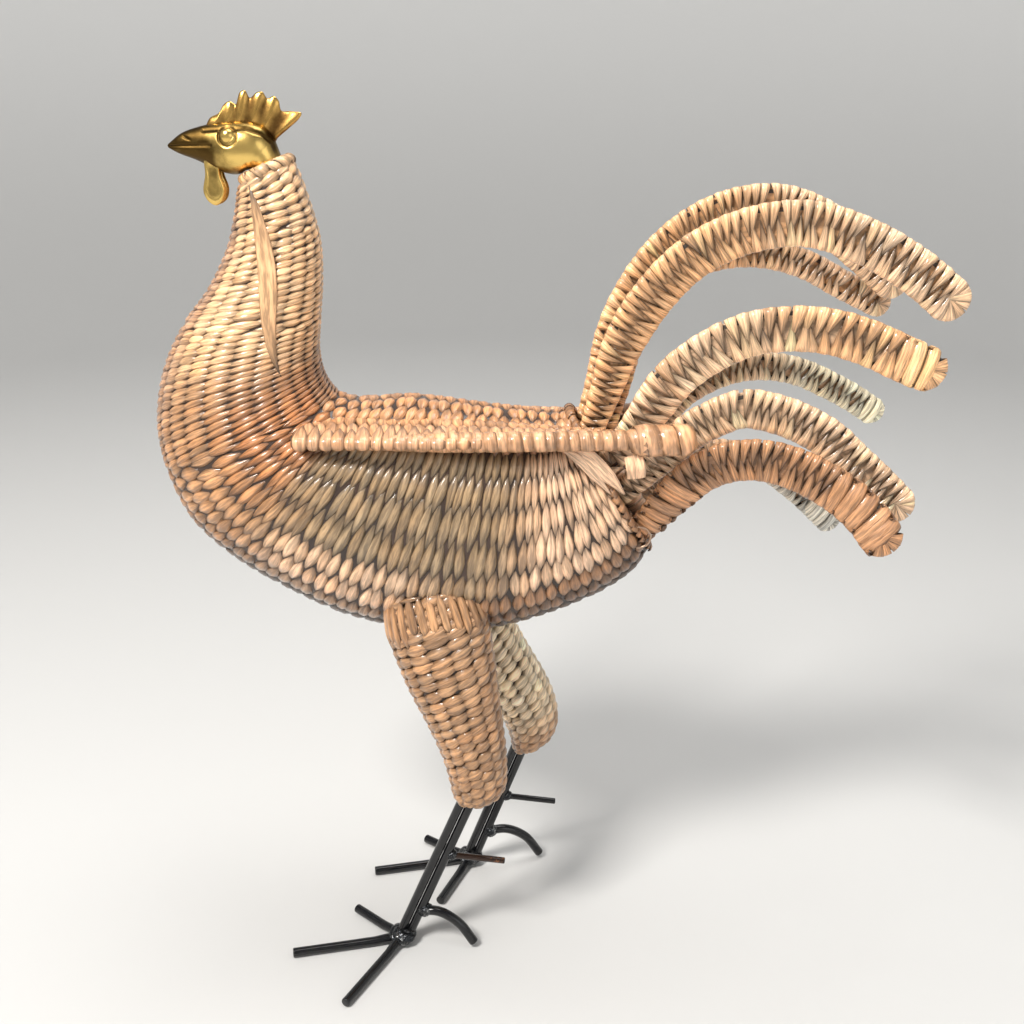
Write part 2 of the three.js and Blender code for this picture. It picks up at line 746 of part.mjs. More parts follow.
for (const name of legNames) {
  const leg = LEGS[name];
  const rods = legRods(leg);
  const wide = legRods(leg, 2 * GAP);
  addPiece(`${name}_leg_front_rod`, rods.front, 'iron');
  addPiece(`${name}_leg_rear_rod`, rods.rear, 'iron');

  const toeCutters = [];
  for (const [toe, size] of Object.entries(TOES[name])) {
    const line = toeLine(leg.foot, size);
    addPiece(`${name}_${toe}_toe`, rod(line, TOE_ROD, UP, { sides: TOE_SIDES }), 'iron');
    toeCutters.push(rod(line, TOE_ROD + 2 * GAP, UP, { sides: TOE_SIDES }));
  }

  const weld = new THREE.SphereGeometry(1, 10, 6);
  weld.rotateX(Math.PI / 2);
  weld.scale(WELD_RADIUS, WELD_RADIUS, WELD_HEIGHT / 2);
  weld.translate(leg.foot[0], leg.foot[1], WELD_HEIGHT / 2 + WELD_LIFT);
  addPiece(`${name}_foot_weld`, cut(weld, wide.front, wide.rear, ...toeCutters), 'iron');

  const { height, reach, aside } = HIND_TOES[name];
  const root = shankPoint(leg, height);
  const point = vec(root.x + aside, root.y + reach, -TOE_ROD / 4);
  const hindLine = smoothLine([
    root,
    root.clone().add(vec(0.3 * aside, 0.36 * reach, 0)),
    root.clone().add(vec(0.68 * aside, 0.72 * reach, -0.3 * height)),
    point,
  ]).getSpacedPoints(8);
  const floor = new THREE.BoxGeometry(4 * TOE_ROD, 4 * TOE_ROD, 2 * TOE_ROD)
    .translate(point.x, point.y, -TOE_ROD);
  const hind = rod(hindLine, TOE_ROD, ACROSS, { sides: TOE_SIDES });
  addPiece(`${name}_hind_toe`, cut(hind, wide.rear, floor), 'iron');

  const spurRoot = shankPoint(leg, SPUR_HEIGHTS[name]);
  const spurLine = [spurRoot, spurRoot.clone().add(vec(0, SPUR_REACH, -SPUR_DROP))];
  addPiece(`${name}_spur`, cut(rod(spurLine, SPUR_ROD), wide.rear), 'iron');
}

// Hidden frame: hoops, lengthwise rods and the hip bar

function hoop(station) {
  const ring = [];
  for (let i = 0; i < HOOP_SIDES; i += 1) {
    ring.push(bodyPoint(station, (i * 360) / HOOP_SIDES, hoopInset));
  }
  const axis = bodyFrame(station).toBack.clone().cross(ACROSS);
  return rod(ring, FRAME_ROD, axis, { sides: FRAME_SIDES, joined: true });
}

const HOOPS = {
  neck_top_ring: NECK_TOP_STATION,
  neck_hoop: NECK_STATION,
  shoulder_hoop: SHOULDER_STATION,
  breast_hoop: BREAST_STATION,
  hip_hoop: HIP_STATION,
  tail_ring: TAIL_STATION,
};
for (const [name, station] of Object.entries(HOOPS)) {
  addPiece(name, hoop(station), 'frame');
}

// A lengthwise rod bends where it crosses a hoop and at even steps between the hoops
function stringer(degrees) {
  const stops = [STRINGER_START_STATION, ...Object.values(HOOPS), STRINGER_END_STATION];
  const points = [stringerPoint(stops[0], degrees)];
  for (let i = 1; i < stops.length; i += 1) {
    const span = stops[i] - stops[i - 1];
    const steps = Math.ceil(span / STRINGER_STEP_STATIONS);
    for (let j = 1; j <= steps; j += 1) {
      points.push(stringerPoint(stops[i - 1] + (span * j) / steps, degrees));
    }
  }
  return points;
}

const spineLine = stringer(0);
const headPost = neckTop.centre.clone().addScaledVector(collarAxis, -COLLAR_DEPTH / 2);
const frameFacets = { sides: FRAME_SIDES };
addPiece('spine_rod', rod([headPost, ...spineLine], FRAME_ROD, ACROSS, frameFacets), 'frame');
addPiece('keel_rod', rod(stringer(180), FRAME_ROD, ACROSS, frameFacets), 'frame');
for (const [name, side] of Object.entries(SIDES)) {
  const line = stringer(90 * side);
  addPiece(`${name}_side_rod`, rod(line, FRAME_ROD, UP, frameFacets), 'frame');
}

const hipBarHalf = hipBarPoint.x - FRAME_ROD / 2 - 2 * GAP;
const hipBarLine = [-1, 1].map((side) => vec(side * hipBarHalf, hipBarPoint.y, hipBarPoint.z));
addPiece('hip_bar', rod(hipBarLine, HIP_BAR_ROD, UP), 'frame');

// Wings

for (const name of Object.keys(SIDES)) {
  const wing = join(wingRim(name), wingDeck(name));
  addPiece(`${name}_wing_weave`, cut(wing, bodyOutside, wideWingFrames[name]), 'rush');
  addPiece(`${name}_wing_frame`, rod(wingLine(name), WING_ROD, UP), 'frame');
}

// Tail

const wideTailBars = [];
for (const [name, side] of Object.entries(SIDES)) {
  const ends = [0, 1].map((share) => tailBarPoint(side, share, barReach));
  addPiece(`${name}_tail_bar`, rod(ends, FRAME_ROD), 'frame');
  wideTailBars.push(rod(ends, FRAME_ROD + 2 * GAP));
}

for (const [name, feather] of Object.entries(FEATHERS)) {
  const plan = featherPlan(feather);
  addPiece(`${name}_weave`, cut(featherBand(plan), bodyOutside), 'rush');
  addPiece(`${name}_frame`, featherLoop(plan), 'frame');
}

const openingFrame = bodyFrame(lastStation);
const outOfTail = openingFrame.toBack.clone().cross(ACROSS).normalize().negate();
const bindingHalf = featherRootX - FEATHER_HALF_THICKNESS - GAP;
const bindingEdge = [BINDING_FROM, BINDING_TO].map((share) => (
  openingFrame.centre.clone().addScaledVector(
    openingFrame.toBack, openingFrame.halfLength * (1 - 2 * share))));
const bindingOutline = [
  bindingEdge[0].clone().addScaledVector(outOfTail, -BINDING_INSIDE),
  bindingEdge[0].clone().addScaledVector(outOfTail, BINDING_OUTSIDE),
  bindingEdge[1].clone().addScaledVector(outOfTail, BINDING_OUTSIDE),
  bindingEdge[1].clone().addScaledVector(outOfTail, -BINDING_INSIDE),
].map((point) => [point.y, point.z]);
const binding = plate(bindingOutline, 2 * bindingHalf, 0);
addPiece('tail_binding', cut(binding, ...wideTailBars), 'paleRush');

// Brass head

function headRing(station, inset) {
  const [topY, topZ, lowY, lowZ, halfWidth] = station;
  const top = vec(0, topY, topZ);
  const low = vec(0, lowY, lowZ);
  const centre = top.clone().add(low).multiplyScalar(0.5);
  const toTop = top.clone().sub(low).normalize();
  const half = top.distanceTo(low) / 2 - inset;
  const ring = [];
  for (let i = 0; i < HEAD_SIDES; i += 1) {
    const angle = (i * 2 * Math.PI) / HEAD_SIDES;
    ring.push(centre.clone().addScaledVector(toTop, half * Math.cos(angle))
      .setX((halfWidth - inset) * Math.sin(angle)));
  }
  return ring;
}

function headRings(inset) {
  const rings = HEAD_STATIONS.map((station) => headRing(station, inset));
  rings.push(collarRing(0, -inset, HEAD_SIDES), collarRing(COLLAR_DEPTH, -inset, HEAD_SIDES));
  return rings;
}

const headOutside = skin(headRings(-GAP));
const headCavity = headRings(HEAD_WALL).slice(HEAD_HOLLOW_FROM);
addPiece('head_shell', skin([...headRings(0), ...headCavity.reverse()]), 'brass');
addPiece('comb', cut(plate(COMB_OUTLINE, COMB_THICKNESS, 0, COMB_BEVEL), headOutside), 'brass');

for (const [name, side] of Object.entries(SIDES)) {
  const wattle = plate(WATTLE_OUTLINE, WATTLE_THICKNESS, side * (WATTLE_X + WATTLE_THICKNESS / 2), 1);
  addPiece(`${name}_wattle`, cut(wattle, headOutside), 'brass');
  const [eyeX, eyeY, eyeZ] = EYE_CENTRE;
  const eye = new THREE.SphereGeometry(EYE_RADIUS, 12, 8).translate(side * eyeX, eyeY, eyeZ);
  addPiece(`${name}_eye`, cut(eye, headOutside), 'brass');
}

export default rooster;
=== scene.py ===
"""Woven rush rooster on a welded iron frame: visual pieces, camera, lights and floor.

Sizes are millimetres in the bird's measuring frame, whose X = 0 is the mid-plane. The beak points
to -Y and the bird's left side is +X. Every mesh is moved to the CAD frame as it is made.
"""

import json
import logging
import math
from dataclasses import dataclass, field
from enum import Enum

import bpy
import numpy as np
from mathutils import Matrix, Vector

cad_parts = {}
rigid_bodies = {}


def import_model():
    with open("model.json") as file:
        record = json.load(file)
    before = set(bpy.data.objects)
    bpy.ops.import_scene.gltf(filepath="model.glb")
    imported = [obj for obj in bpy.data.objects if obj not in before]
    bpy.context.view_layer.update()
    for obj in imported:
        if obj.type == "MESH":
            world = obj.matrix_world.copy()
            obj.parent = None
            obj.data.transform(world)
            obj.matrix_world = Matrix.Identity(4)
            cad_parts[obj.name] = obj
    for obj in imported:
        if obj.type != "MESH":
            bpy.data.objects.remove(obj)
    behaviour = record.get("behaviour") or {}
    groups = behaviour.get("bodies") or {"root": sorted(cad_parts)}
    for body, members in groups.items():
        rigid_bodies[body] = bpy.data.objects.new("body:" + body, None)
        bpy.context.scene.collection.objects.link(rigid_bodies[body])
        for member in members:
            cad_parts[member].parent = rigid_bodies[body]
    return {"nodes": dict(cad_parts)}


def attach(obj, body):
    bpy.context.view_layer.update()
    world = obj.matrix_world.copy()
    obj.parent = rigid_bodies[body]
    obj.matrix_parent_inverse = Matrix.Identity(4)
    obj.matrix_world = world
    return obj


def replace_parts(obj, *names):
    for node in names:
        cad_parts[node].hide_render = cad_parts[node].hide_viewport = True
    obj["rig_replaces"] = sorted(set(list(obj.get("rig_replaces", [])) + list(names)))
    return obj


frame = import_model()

Array = np.ndarray
Colour = tuple[float, float, float, float]
Pair = tuple[float, float]
Triple = tuple[float, float, float]
Random = np.random.Generator
LOG = logging.getLogger("rooster")
MM = 0.001
# The CAD frame's origin, in the measuring frame
ORIGIN = np.array([16.6, 23.47, 0.0])
ACROSS = np.array([1.0, 0.0, 0.0])
REARWARD = np.array([0.0, 1.0, 0.0])
UP = np.array([0.0, 0.0, 1.0])


class Tone(Enum):
    """Named colours of the object, as display values."""

    NECK = (228, 184, 138)
    THROAT = (186, 142, 108)
    CHEST = (186, 138, 96)
    SADDLE = (180, 119, 71)
    BACK = (198, 142, 96)
    RIM = (206, 156, 116)
    OLIVE = (156, 130, 98)
    PEACH = (236, 194, 158)
    BELLY = (160, 114, 76)
    # Painted shade for the lower belly, which lies under the light.
    UNDERSIDE = (84, 58, 36)
    NEAR_THIGH = (174, 132, 94)
    # Painted light: the far thigh's rush is made paler to offset the shade it stands in.
    FAR_THIGH = (240, 216, 180)
    FEATHER = (248, 204, 162)
    WARM_FEATHER = (244, 186, 132)
    PALE_FEATHER = (246, 232, 198)
    GREY_FEATHER = (212, 204, 188)
    DIM_FEATHER = (192, 140, 98)
    LEAF_FOLD = (214, 168, 124)
    # Painted shade: the tint of the rush cores seen through the gaps between strands; the metal
    # finishes do not read it.
    DARK = (84, 56, 38)

    @property
    def linear(self) -> Array:
        """The colour as linear light."""
        share = np.array(self.value) / 255.0
        return np.where(share <= 0.04045, share / 12.92, ((share + 0.055) / 1.055) ** 2.4)


def unit(vectors: Array) -> Array:
    """Vectors scaled to length one."""
    return vectors / np.maximum(np.linalg.norm(vectors, axis=-1, keepdims=True), 1e-9)


def lerp(first: Array, second: Array, share: Array) -> Array:
    """The point a share of the way from the first to the second."""
    return first + (second - first) * share


def smoothstep(share: Array) -> Array:
    """An S-shaped ramp from 0 to 1."""
    kept = np.clip(share, 0.0, 1.0)
    return kept * kept * (3.0 - 2.0 * kept)


def bump(value: Array, middle: float, spread: float) -> Array:
    """A bell curve of height one."""
    return np.exp(-(((value - middle) / spread) ** 2))


def lengths_along(points: Array) -> Array:
    """Distance of each point from the first, measured along the line."""
    steps = np.linalg.norm(np.diff(points, axis=0), axis=1)
    return np.concatenate([[0.0], np.cumsum(steps)])


@dataclass(frozen=True)
class Curve:
    """A centripetal Catmull-Rom curve through points, counted by point number."""

    points: Array

    def at(self, place: Array) -> Array:
        """Points of the curve.

        Args:
            place: Point numbers, with fractions between the points.

        Returns:
            One point for each place: the cubic whose ends and slopes come from the four points
            around it, spaced by the square roots of their distances.
        """
        count = len(self.points)
        padded = np.vstack([
            2 * self.points[0] - self.points[1],
            self.points,
            2 * self.points[-1] - self.points[-2],
        ])
        kept = np.clip(np.asarray(place, float), 0.0, count - 1)
        number = np.minimum(kept.astype(int), count - 2)
        share = (kept - number)[..., None]
        a, b, c, d = (padded[number + k] for k in range(4))
        near, mid, far = (
            np.sqrt(np.linalg.norm(q - p, axis=-1, keepdims=True))
            for p, q in ((a, b), (b, c), (c, d))
        )
        mid = np.where(mid < 1e-2, 1.0, mid)
        near = np.where(near < 1e-2, mid, near)
        far = np.where(far < 1e-2, mid, far)
        leaving = ((b - a) / near - (c - a) / (near + mid) + (c - b) / mid) * mid
        arriving = ((c - b) / mid - (d - b) / (mid + far) + (d - c) / far) * mid
        square = -3 * b + 3 * c - 2 * leaving - arriving
        cube = 2 * b - 2 * c + leaving + arriving
        return b + leaving * share + square * share**2 + cube * share**3

    def paced(self, shares: Array, samples: int = 600) -> Array:
        """Points at the given shares of the curve's length.

        Args:
            shares: Shares from 0 to 1.
            samples: How many points the length is measured with.

        Returns:
            One point for each share.
        """
        places = np.linspace(0.0, len(self.points) - 1, samples)
        run = lengths_along(self.at(places))
        return self.at(np.interp(shares, run / run[-1], places))

    def length(self, samples: int = 600) -> float:
        """The curve's length."""
        places = np.linspace(0.0, len(self.points) - 1, samples)
        return float(lengths_along(self.at(places))[-1])


class Value:
    """A shader socket whose sums and products read as arithmetic."""

    def __init__(self, tree: bpy.types.NodeTree, socket: bpy.types.NodeSocket) -> None:
        """Keep the socket and its tree."""
        self.tree = tree
        self.socket = socket

    def _math(self, operation: str, first: "Value | float", second: "Value | float") -> "Value":
        """Add a Math node fed by two operands.

        Args:
            operation: Blender's name of the sum, product or power.
            first: The first operand.
            second: The second operand.

        Returns:
            The node's result.
        """
        node = self.tree.nodes.new("ShaderNodeMath")
        node.operation = operation
        for number, operand in enumerate((first, second)):
            if isinstance(operand, Value):
                self.tree.links.new(operand.socket, node.inputs[number])
            else:
                node.inputs[number].default_value = operand
        return Value(self.tree, node.outputs[0])

    def __add__(self, other: "Value | float") -> "Value":
        """Sum."""
        return self._math("ADD", self, other)

    __radd__ = __add__

    def __sub__(self, other: "Value | float") -> "Value":
        """Difference."""
        return self._math("SUBTRACT", self, other)

    def __rsub__(self, other: float) -> "Value":
        """Difference from a number."""
        return self._math("SUBTRACT", other, self)

    def __mul__(self, other: "Value | float") -> "Value":
        """Product."""
        return self._math("MULTIPLY", self, other)

    __rmul__ = __mul__

    def __pow__(self, other: float) -> "Value":
        """Power."""
        return self._math("POWER", self, other)


class Shader:
    """A material's node tree, with one method for every kind of node."""

    def __init__(self, name: str) -> None:
        """Start a material with an empty tree and its surface shader.

        Args:
            name: The material's name.
        """
        self.material = bpy.data.materials.new(name)
        self.material.use_nodes = True
        self.tree = self.material.node_tree
        self.tree.nodes.clear()
        output = self.tree.nodes.new("ShaderNodeOutputMaterial")
        self.surface = self.tree.nodes.new("ShaderNodeBsdfPrincipled")
        self.tree.links.new(self.surface.outputs["BSDF"], output.inputs["Surface"])

    def feed(self, socket: bpy.types.NodeSocket, given: "Value | float | tuple") -> None:
        """Link a value to a socket, or set the socket's own number."""
        if isinstance(given, Value):
            self.tree.links.new(given.socket, socket)
        else:
            socket.default_value = given

    def node(self, kind: str, output: str | int, settings: dict, inputs: dict) -> Value:
        """Add a node.

        Args:
            kind: The node's type name.
            output: Name or number of the output socket that is used.
            settings: The node's own properties, set before its sockets.
            inputs: A value or number for each input socket, by name or number.

        Returns:
            The chosen output.
        """
        made = self.tree.nodes.new(kind)
        for key, setting in settings.items():
            setattr(made, key, setting)
        for key, given in inputs.items():
            self.feed(made.inputs[key], given)
        return Value(self.tree, made.outputs[output])

    def attribute(self, name: str, output: str) -> Value:
        """A value stored on the mesh."""
        return self.node("ShaderNodeAttribute", output, {"attribute_name": name}, {})

    def place(self, scale: Triple = (1.0, 1.0, 1.0)) -> Value:
        """The object's own coordinates, scaled."""
        return self.scaled(self.node("ShaderNodeTexCoord", "Object", {}, {}), scale)

    def scaled(self, vector: Value, scale: Triple) -> Value:
        """A vector multiplied along each axis."""
        return self.node(
            "ShaderNodeVectorMath", 0, {"operation": "MULTIPLY"}, {0: vector, 1: scale})

    def noise(self, vector: Value, scale: float, detail: float = 3.0, rough: float = 0.5) -> Value:
        """Noise between 0 and 1."""
        return self.node(
            "ShaderNodeTexNoise", 0, {},
            {"Vector": vector, "Scale": scale, "Detail": detail, "Roughness": rough},
        )

    def ramp(self, value: Value, low: float, high: float, start: float, end: float) -> Value:
        """The value's low to high range spread over start to end, held at both ends."""
        return self.node(
            "ShaderNodeMapRange", 0, {"interpolation_type": "SMOOTHSTEP"},
            {0: value, 1: low, 2: high, 3: start, 4: end},
        )

    def mix(self, share: "Value | float", first: "Value | Colour", second: "Value | Colour",
            blend: str = "MIX") -> Value:
        """A colour between two others, or the first blended with the second in another way."""
        return self.node(
            "ShaderNodeMix", 2, {"data_type": "RGBA", "blend_type": blend},
            {0: share, 6: first, 7: second})

    def dimmed(self, colour: Value, factor: Value) -> Value:
        """A colour multiplied by a factor."""
        return self.node(
            "ShaderNodeVectorMath", 0, {"operation": "SCALE"}, {0: colour, "Scale": factor})

    def relief(self, height: Value, depth: float, strength: float) -> None:
        """Bump the surface by a height."""
        normal = self.node(
            "ShaderNodeBump", 0, {},
            {"Height": height, "Distance": depth, "Strength": strength},
        )
        self.feed(self.surface.inputs["Normal"], normal)

    def finish(self, inputs: dict) -> bpy.types.Material:
        """Set the surface shader's sockets and give back the material."""
        for key, given in inputs.items():
            self.feed(self.surface.inputs[key], given)
        return self.material


@dataclass(frozen=True)
class Rush:
    """Varnished rush leaf: long fibres and folds, with painted shade between the strands and
    painted highlights on their crests.
    """

    name: str
    streaks: float = 9.0
    fibres: float = 34.0
    gloss: float = 0.28
    crease_shade: float = 0.1
    stain: Colour = (0.93, 0.8, 0.7, 1.0)

    def build(self) -> bpy.types.Material:
        """Make the material, whose colour comes from each strand's own tint."""
        shader = Shader(self.name)
        strand = shader.node("ShaderNodeUVMap", 0, {"uv_map": "strand"}, {})
        streak = shader.noise(shader.scaled(strand, (0.05, self.streaks, 1.0)), 1.0, 2.0)
        fibre = shader.noise(shader.scaled(strand, (0.12, self.fibres, 1.0)), 1.0, 2.0, 0.6)
        blotch = shader.noise(shader.place(), 42.0, 4.0)
        crest = shader.attribute("crest", "Fac")
        height = 0.7 * streak + 0.3 * fibre
        light = shader.ramp(height, 0.38, 0.62, 0.58, 1.24)
        # Painted shade and painted highlight: a low crest value (a strand's sides, underside and
        # sunken ends) darkens the tint, and the highest values brighten it up to 1.3 times.
        light = light * shader.ramp(crest, 0.2, 1.0, self.crease_shade, 1.3)
        tint = shader.dimmed(shader.attribute("tint", "Color"), light)
        ruddy = shader.ramp(blotch, 0.5, 0.8, 0.0, 0.45)
        shader.relief(height, 0.0022, 0.8)
        return shader.finish({
            "Base Color": shader.mix(ruddy, tint, self.stain, "MULTIPLY"),
            "Roughness": self.gloss + 0.22 * streak,
            "Coat Weight": 0.7,
            "Coat Roughness": 0.13,
            "Specular IOR Level": 0.5,
        })


@dataclass(frozen=True)
class Brass:
    """Aged brass: bright where it is rubbed and where a highlight is painted, brown in the hollows
    and where shade is painted.
    """

    name: str
    bright: Colour
    patina: Colour
    reach: float

    def build(self) -> bpy.types.Material:
        """Make the material, which darkens where the mesh's crest value is low."""
        shader = Shader(self.name)
        cloud = shader.noise(shader.place(), 70.0, 5.0, 0.6)
        grain = shader.noise(shader.place(), 520.0, 3.0)
        worn_and_glint = shader.attribute("crest", "Fac") + 0.9 * cloud - 0.45
        share = shader.ramp(worn_and_glint, self.reach - 0.35, self.reach + 0.3, 1.0, 0.0)
        shader.relief(0.75 * cloud + 0.25 * grain, 0.0006, 0.3)
        return shader.finish({
            "Base Color": shader.mix(share, self.bright, self.patina),
            "Metallic": 1.0,
            "Roughness": 0.13 + 0.2 * cloud + 0.14 * share,
        })


@dataclass(frozen=True)
class Iron:
    """Bar steel with a finish: gloss black paint, black weld with painted glints, paint with a
    painted bronze reflection, or rusty rod.
    """

    name: str
    base: Colour
    worn_and_glint: Colour
    wear_and_glint: float
    metallic: float
    roughness: float
    coat: float
    lump_scale: float
    lump_depth: float

    def build(self) -> bpy.types.Material:
        """Make the material, whose worn colour comes in small patches; on the welds these are
        painted glints, and on the near spur a painted bronze reflection.
        """
        shader = Shader(self.name)
        lump = shader.noise(shader.place((1.0, 1.0, 0.6)), self.lump_scale, 4.0, 0.6)
        speck = shader.noise(shader.place(), 6.0 * self.lump_scale, 3.0)
        patch = shader.ramp(0.6 * lump + 0.4 * speck, 0.52, 0.68, 0.0, self.wear_and_glint)
        shader.relief(0.8 * lump + 0.2 * speck, self.lump_depth, 0.5)
        return shader.finish({
            "Base Color": shader.mix(patch, self.base, self.worn_and_glint),
            "Metallic": self.metallic,
            "Roughness": self.roughness + 0.16 * lump,
            "Coat Weight": self.coat,
            "Coat Roughness": 0.05,
            "Specular IOR Level": 0.3,
        })


class Finish(Enum):
    """Every finish on the object."""

    WEAVE = Rush("rush_weave")
    LEAF = Rush("rush_leaf", streaks=15.0, fibres=46.0, gloss=0.32, crease_shade=0.24)
    # The cores carry a dark tint: painted shade seen through the gaps between strands.
    CORE = Rush("rush_core", gloss=0.6)
    HEAD = Brass("brass_head", (0.8, 0.55, 0.17, 1.0), (0.09, 0.052, 0.014, 1.0), 0.5)
    COMB = Brass("brass_comb", (0.72, 0.43, 0.12, 1.0), (0.12, 0.055, 0.016, 1.0), 0.68)
    PAINT = Iron("black_paint", (0.004, 0.004, 0.005, 1.0), (0.03, 0.028, 0.025, 1.0),
                 0.5, 0.0, 0.1, 0.5, 120.0, 0.0006)
    # The welds' light metallic patches are painted glints standing in for highlights.
    WELD = Iron("painted_weld", (0.02, 0.022, 0.025, 1.0), (0.5, 0.5, 0.48, 1.0),
                0.75, 0.8, 0.12, 0.4, 240.0, 0.0016)
    # Black paint with a painted bronze reflection, for the near leg's spur.
    BRONZED = Iron("paint_with_bronze_reflection", (0.03, 0.014, 0.008, 1.0), (0.45, 0.17, 0.06, 1.0),
                   0.9, 0.5, 0.18, 0.6, 90.0, 0.0005)
    COPPER = Iron("tail_wire", (0.5, 0.34, 0.24, 1.0), (0.2, 0.11, 0.07, 1.0),
                  0.8, 1.0, 0.24, 0.2, 300.0, 0.0003)
    ROD = Iron("frame_rod_steel", (0.12, 0.1, 0.085, 1.0), (0.2, 0.075, 0.03, 1.0),
               1.0, 0.6, 0.45, 0.0, 170.0, 0.0006)

    @property
    def material(self) -> bpy.types.Material:
        """The finish's material, made on first use."""
        return bpy.data.materials.get(self.value.name) or self.value.build()


class Slot(Enum):
    """The record's material slots that new pieces stand for."""

    RUSH = "rush"
    PALE_RUSH = "pale_rush"
    BLACK_IRON = "black_iron"
    BRASS = "brass"


@dataclass
class Form:
    """Closed patches that become one mesh, each with its tint, crest value and strand UV."""

    points: list[Array] = field(default_factory=list)
    faces: list[tuple[Array, Array]] = field(default_factory=list)
    tints: list[Array] = field(default_factory=list)
    crests: list[Array] = field(default_factory=list)
    count: int = 0

    def tubes(self, rings: Array, tint: Array, crest: Array | float = 1.0,
              joined: bool = False, shift: Array | float = 0.0) -> None:
        """Add closed tubes.

        Args:
            rings: Points, shaped tubes by rings by sides by 3.
            tint: One colour, or one colour for each tube.
            crest: Height above the hollows, from 0 to 1, for every point.
            joined: Whether each tube's last ring joins its first; otherwise both are capped.
            shift: Offset of each tube's UV, so that strands differ.
        """
        tubes, count, sides, _ = rings.shape
        index = self.count + np.arange(tubes * count * sides).reshape(tubes, count, sides)
        following = np.roll(index, -1, axis=1) if joined else index[:, 1:]
        here = index if joined else index[:, :-1]
        quads = np.stack(
            [here, np.roll(here, -1, 2), np.roll(following, -1, 2), following], -1)
        corners = rings.reshape(-1, 3)
        a, b, c = (corners[quads[0, ..., k].ravel() - self.count] for k in range(3))
        d = corners[quads[0, ..., 3].ravel() - self.count]
        middle = corners[:count * sides].mean(0)
        volume = np.sum(np.cross(b - a, c - a) * (a - middle))
        volume += np.sum(np.cross(c - a, d - a) * (a - middle))
        uv = self._unrolled(rings, joined, shift)
        self._keep(quads.reshape(-1, 4), uv.reshape(-1, 4, 2), volume < 0)
        if not joined:
            caps = np.concatenate([index[:, 0, ::-1], index[:, -1]])
            spread = np.stack([np.zeros(sides), np.arange(sides) / sides], -1)
            cap_uv = np.broadcast_to(spread, (len(caps), sides, 2))
            self._keep(caps, cap_uv, volume < 0)
        self.points.append(corners)
        shape = (tubes, count, sides)
        colours = np.broadcast_to(np.asarray(tint, float).reshape(-1, 1, 1, 3), (*shape, 3))
        self.tints.append(colours.reshape(-1, 3))
        self.crests.append(np.broadcast_to(crest, shape).reshape(-1))
        self.count += tubes * count * sides

    @staticmethod
    def _unrolled(rings: Array, joined: bool, shift: Array | float) -> Array:
        """UV of each face's four corners: the distance along its tube and the share round it.

        Args:
            rings: Points, shaped tubes by rings by sides by 3.
            joined: Whether each tube's last ring joins its first.
            shift: Offset of each tube.

        Returns:
            Pairs, shaped tubes by rings by sides by 4 by 2.
        """
        tubes, _, sides, _ = rings.shape
        offset = np.asarray(shift, float).reshape(-1, 1)
        run = np.linalg.norm(np.diff(rings[:, :, 0], axis=1), axis=-1).cumsum(1)
        run = np.concatenate([np.zeros((tubes, 1)), run], 1) + offset
        start = run if joined else run[:, :-1]
        ahead = np.roll(run, -1, 1) if joined else run[:, 1:]
        shape = (*start.shape, sides)
        low = np.broadcast_to(np.arange(sides) / sides + offset[..., None], shape)
        high = low + 1.0 / sides
        begin = np.broadcast_to(start[..., None], shape)
        end = np.broadcast_to(ahead[..., None], shape)
        return np.stack([
            np.stack([begin, low], -1), np.stack([begin, high], -1),
            np.stack([end, high], -1), np.stack([end, low], -1),
        ], -2)

    def _keep(self, faces: Array, uv: Array, flipped: bool) -> None:
        """Store faces, turned over where they would face inward."""
        step = -1 if flipped else 1
        self.faces.append((faces[:, ::step], uv[:, ::step]))

    def piece(self, name: str, finish: Finish, slot: Slot, *nodes: str) -> None:
        """Make the object, which rides on the root body.

        Args:
            name: The piece's name.
            finish: Its finish.
            slot: The record's slot that the finish stands for; not used.
            nodes: The CAD nodes that it replaces.
        """
        mesh = bpy.data.meshes.new(name)
        points = (np.concatenate(self.points) - ORIGIN) * MM
        mesh.vertices.add(len(points))
        mesh.vertices.foreach_set("co", points.astype(np.float32).ravel())
        loops = np.concatenate([faces.ravel() for faces, _ in self.faces])
        sizes = np.concatenate([np.full(len(faces), faces.shape[1]) for faces, _ in self.faces])
        mesh.loops.add(len(loops))
        mesh.loops.foreach_set("vertex_index", loops.astype(np.int32))
        mesh.polygons.add(len(sizes))
        starts = np.concatenate([[0], np.cumsum(sizes)[:-1]])
        mesh.polygons.foreach_set("loop_start", starts.astype(np.int32))
        mesh.polygons.foreach_set("use_smooth", np.ones(len(sizes), bool))
        mesh.update(calc_edges=True)
        layer = mesh.uv_layers.new(name="strand")
        uv = np.concatenate([corner.reshape(-1, 2) for _, corner in self.faces])
        layer.data.foreach_set("uv", uv.astype(np.float32).ravel())
        tints = np.concatenate(self.tints)
        colours = np.concatenate([tints, np.ones((len(tints), 1))], 1)
        tint = mesh.attributes.new("tint", "FLOAT_COLOR", "POINT")
        tint.data.foreach_set("color", colours.astype(np.float32).ravel())
        crest = mesh.attributes.new("crest", "FLOAT", "POINT")
        crest.data.foreach_set("value", np.concatenate(self.crests).astype(np.float32))
        mesh.materials.append(finish.material)
        made = bpy.data.objects.new(name, mesh)
        bpy.context.collection.objects.link(made)
        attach(made, "root")
        if nodes:
            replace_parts(made, *nodes)
        LOG.info("%s: %d points, %d faces", name, len(points), len(sizes))


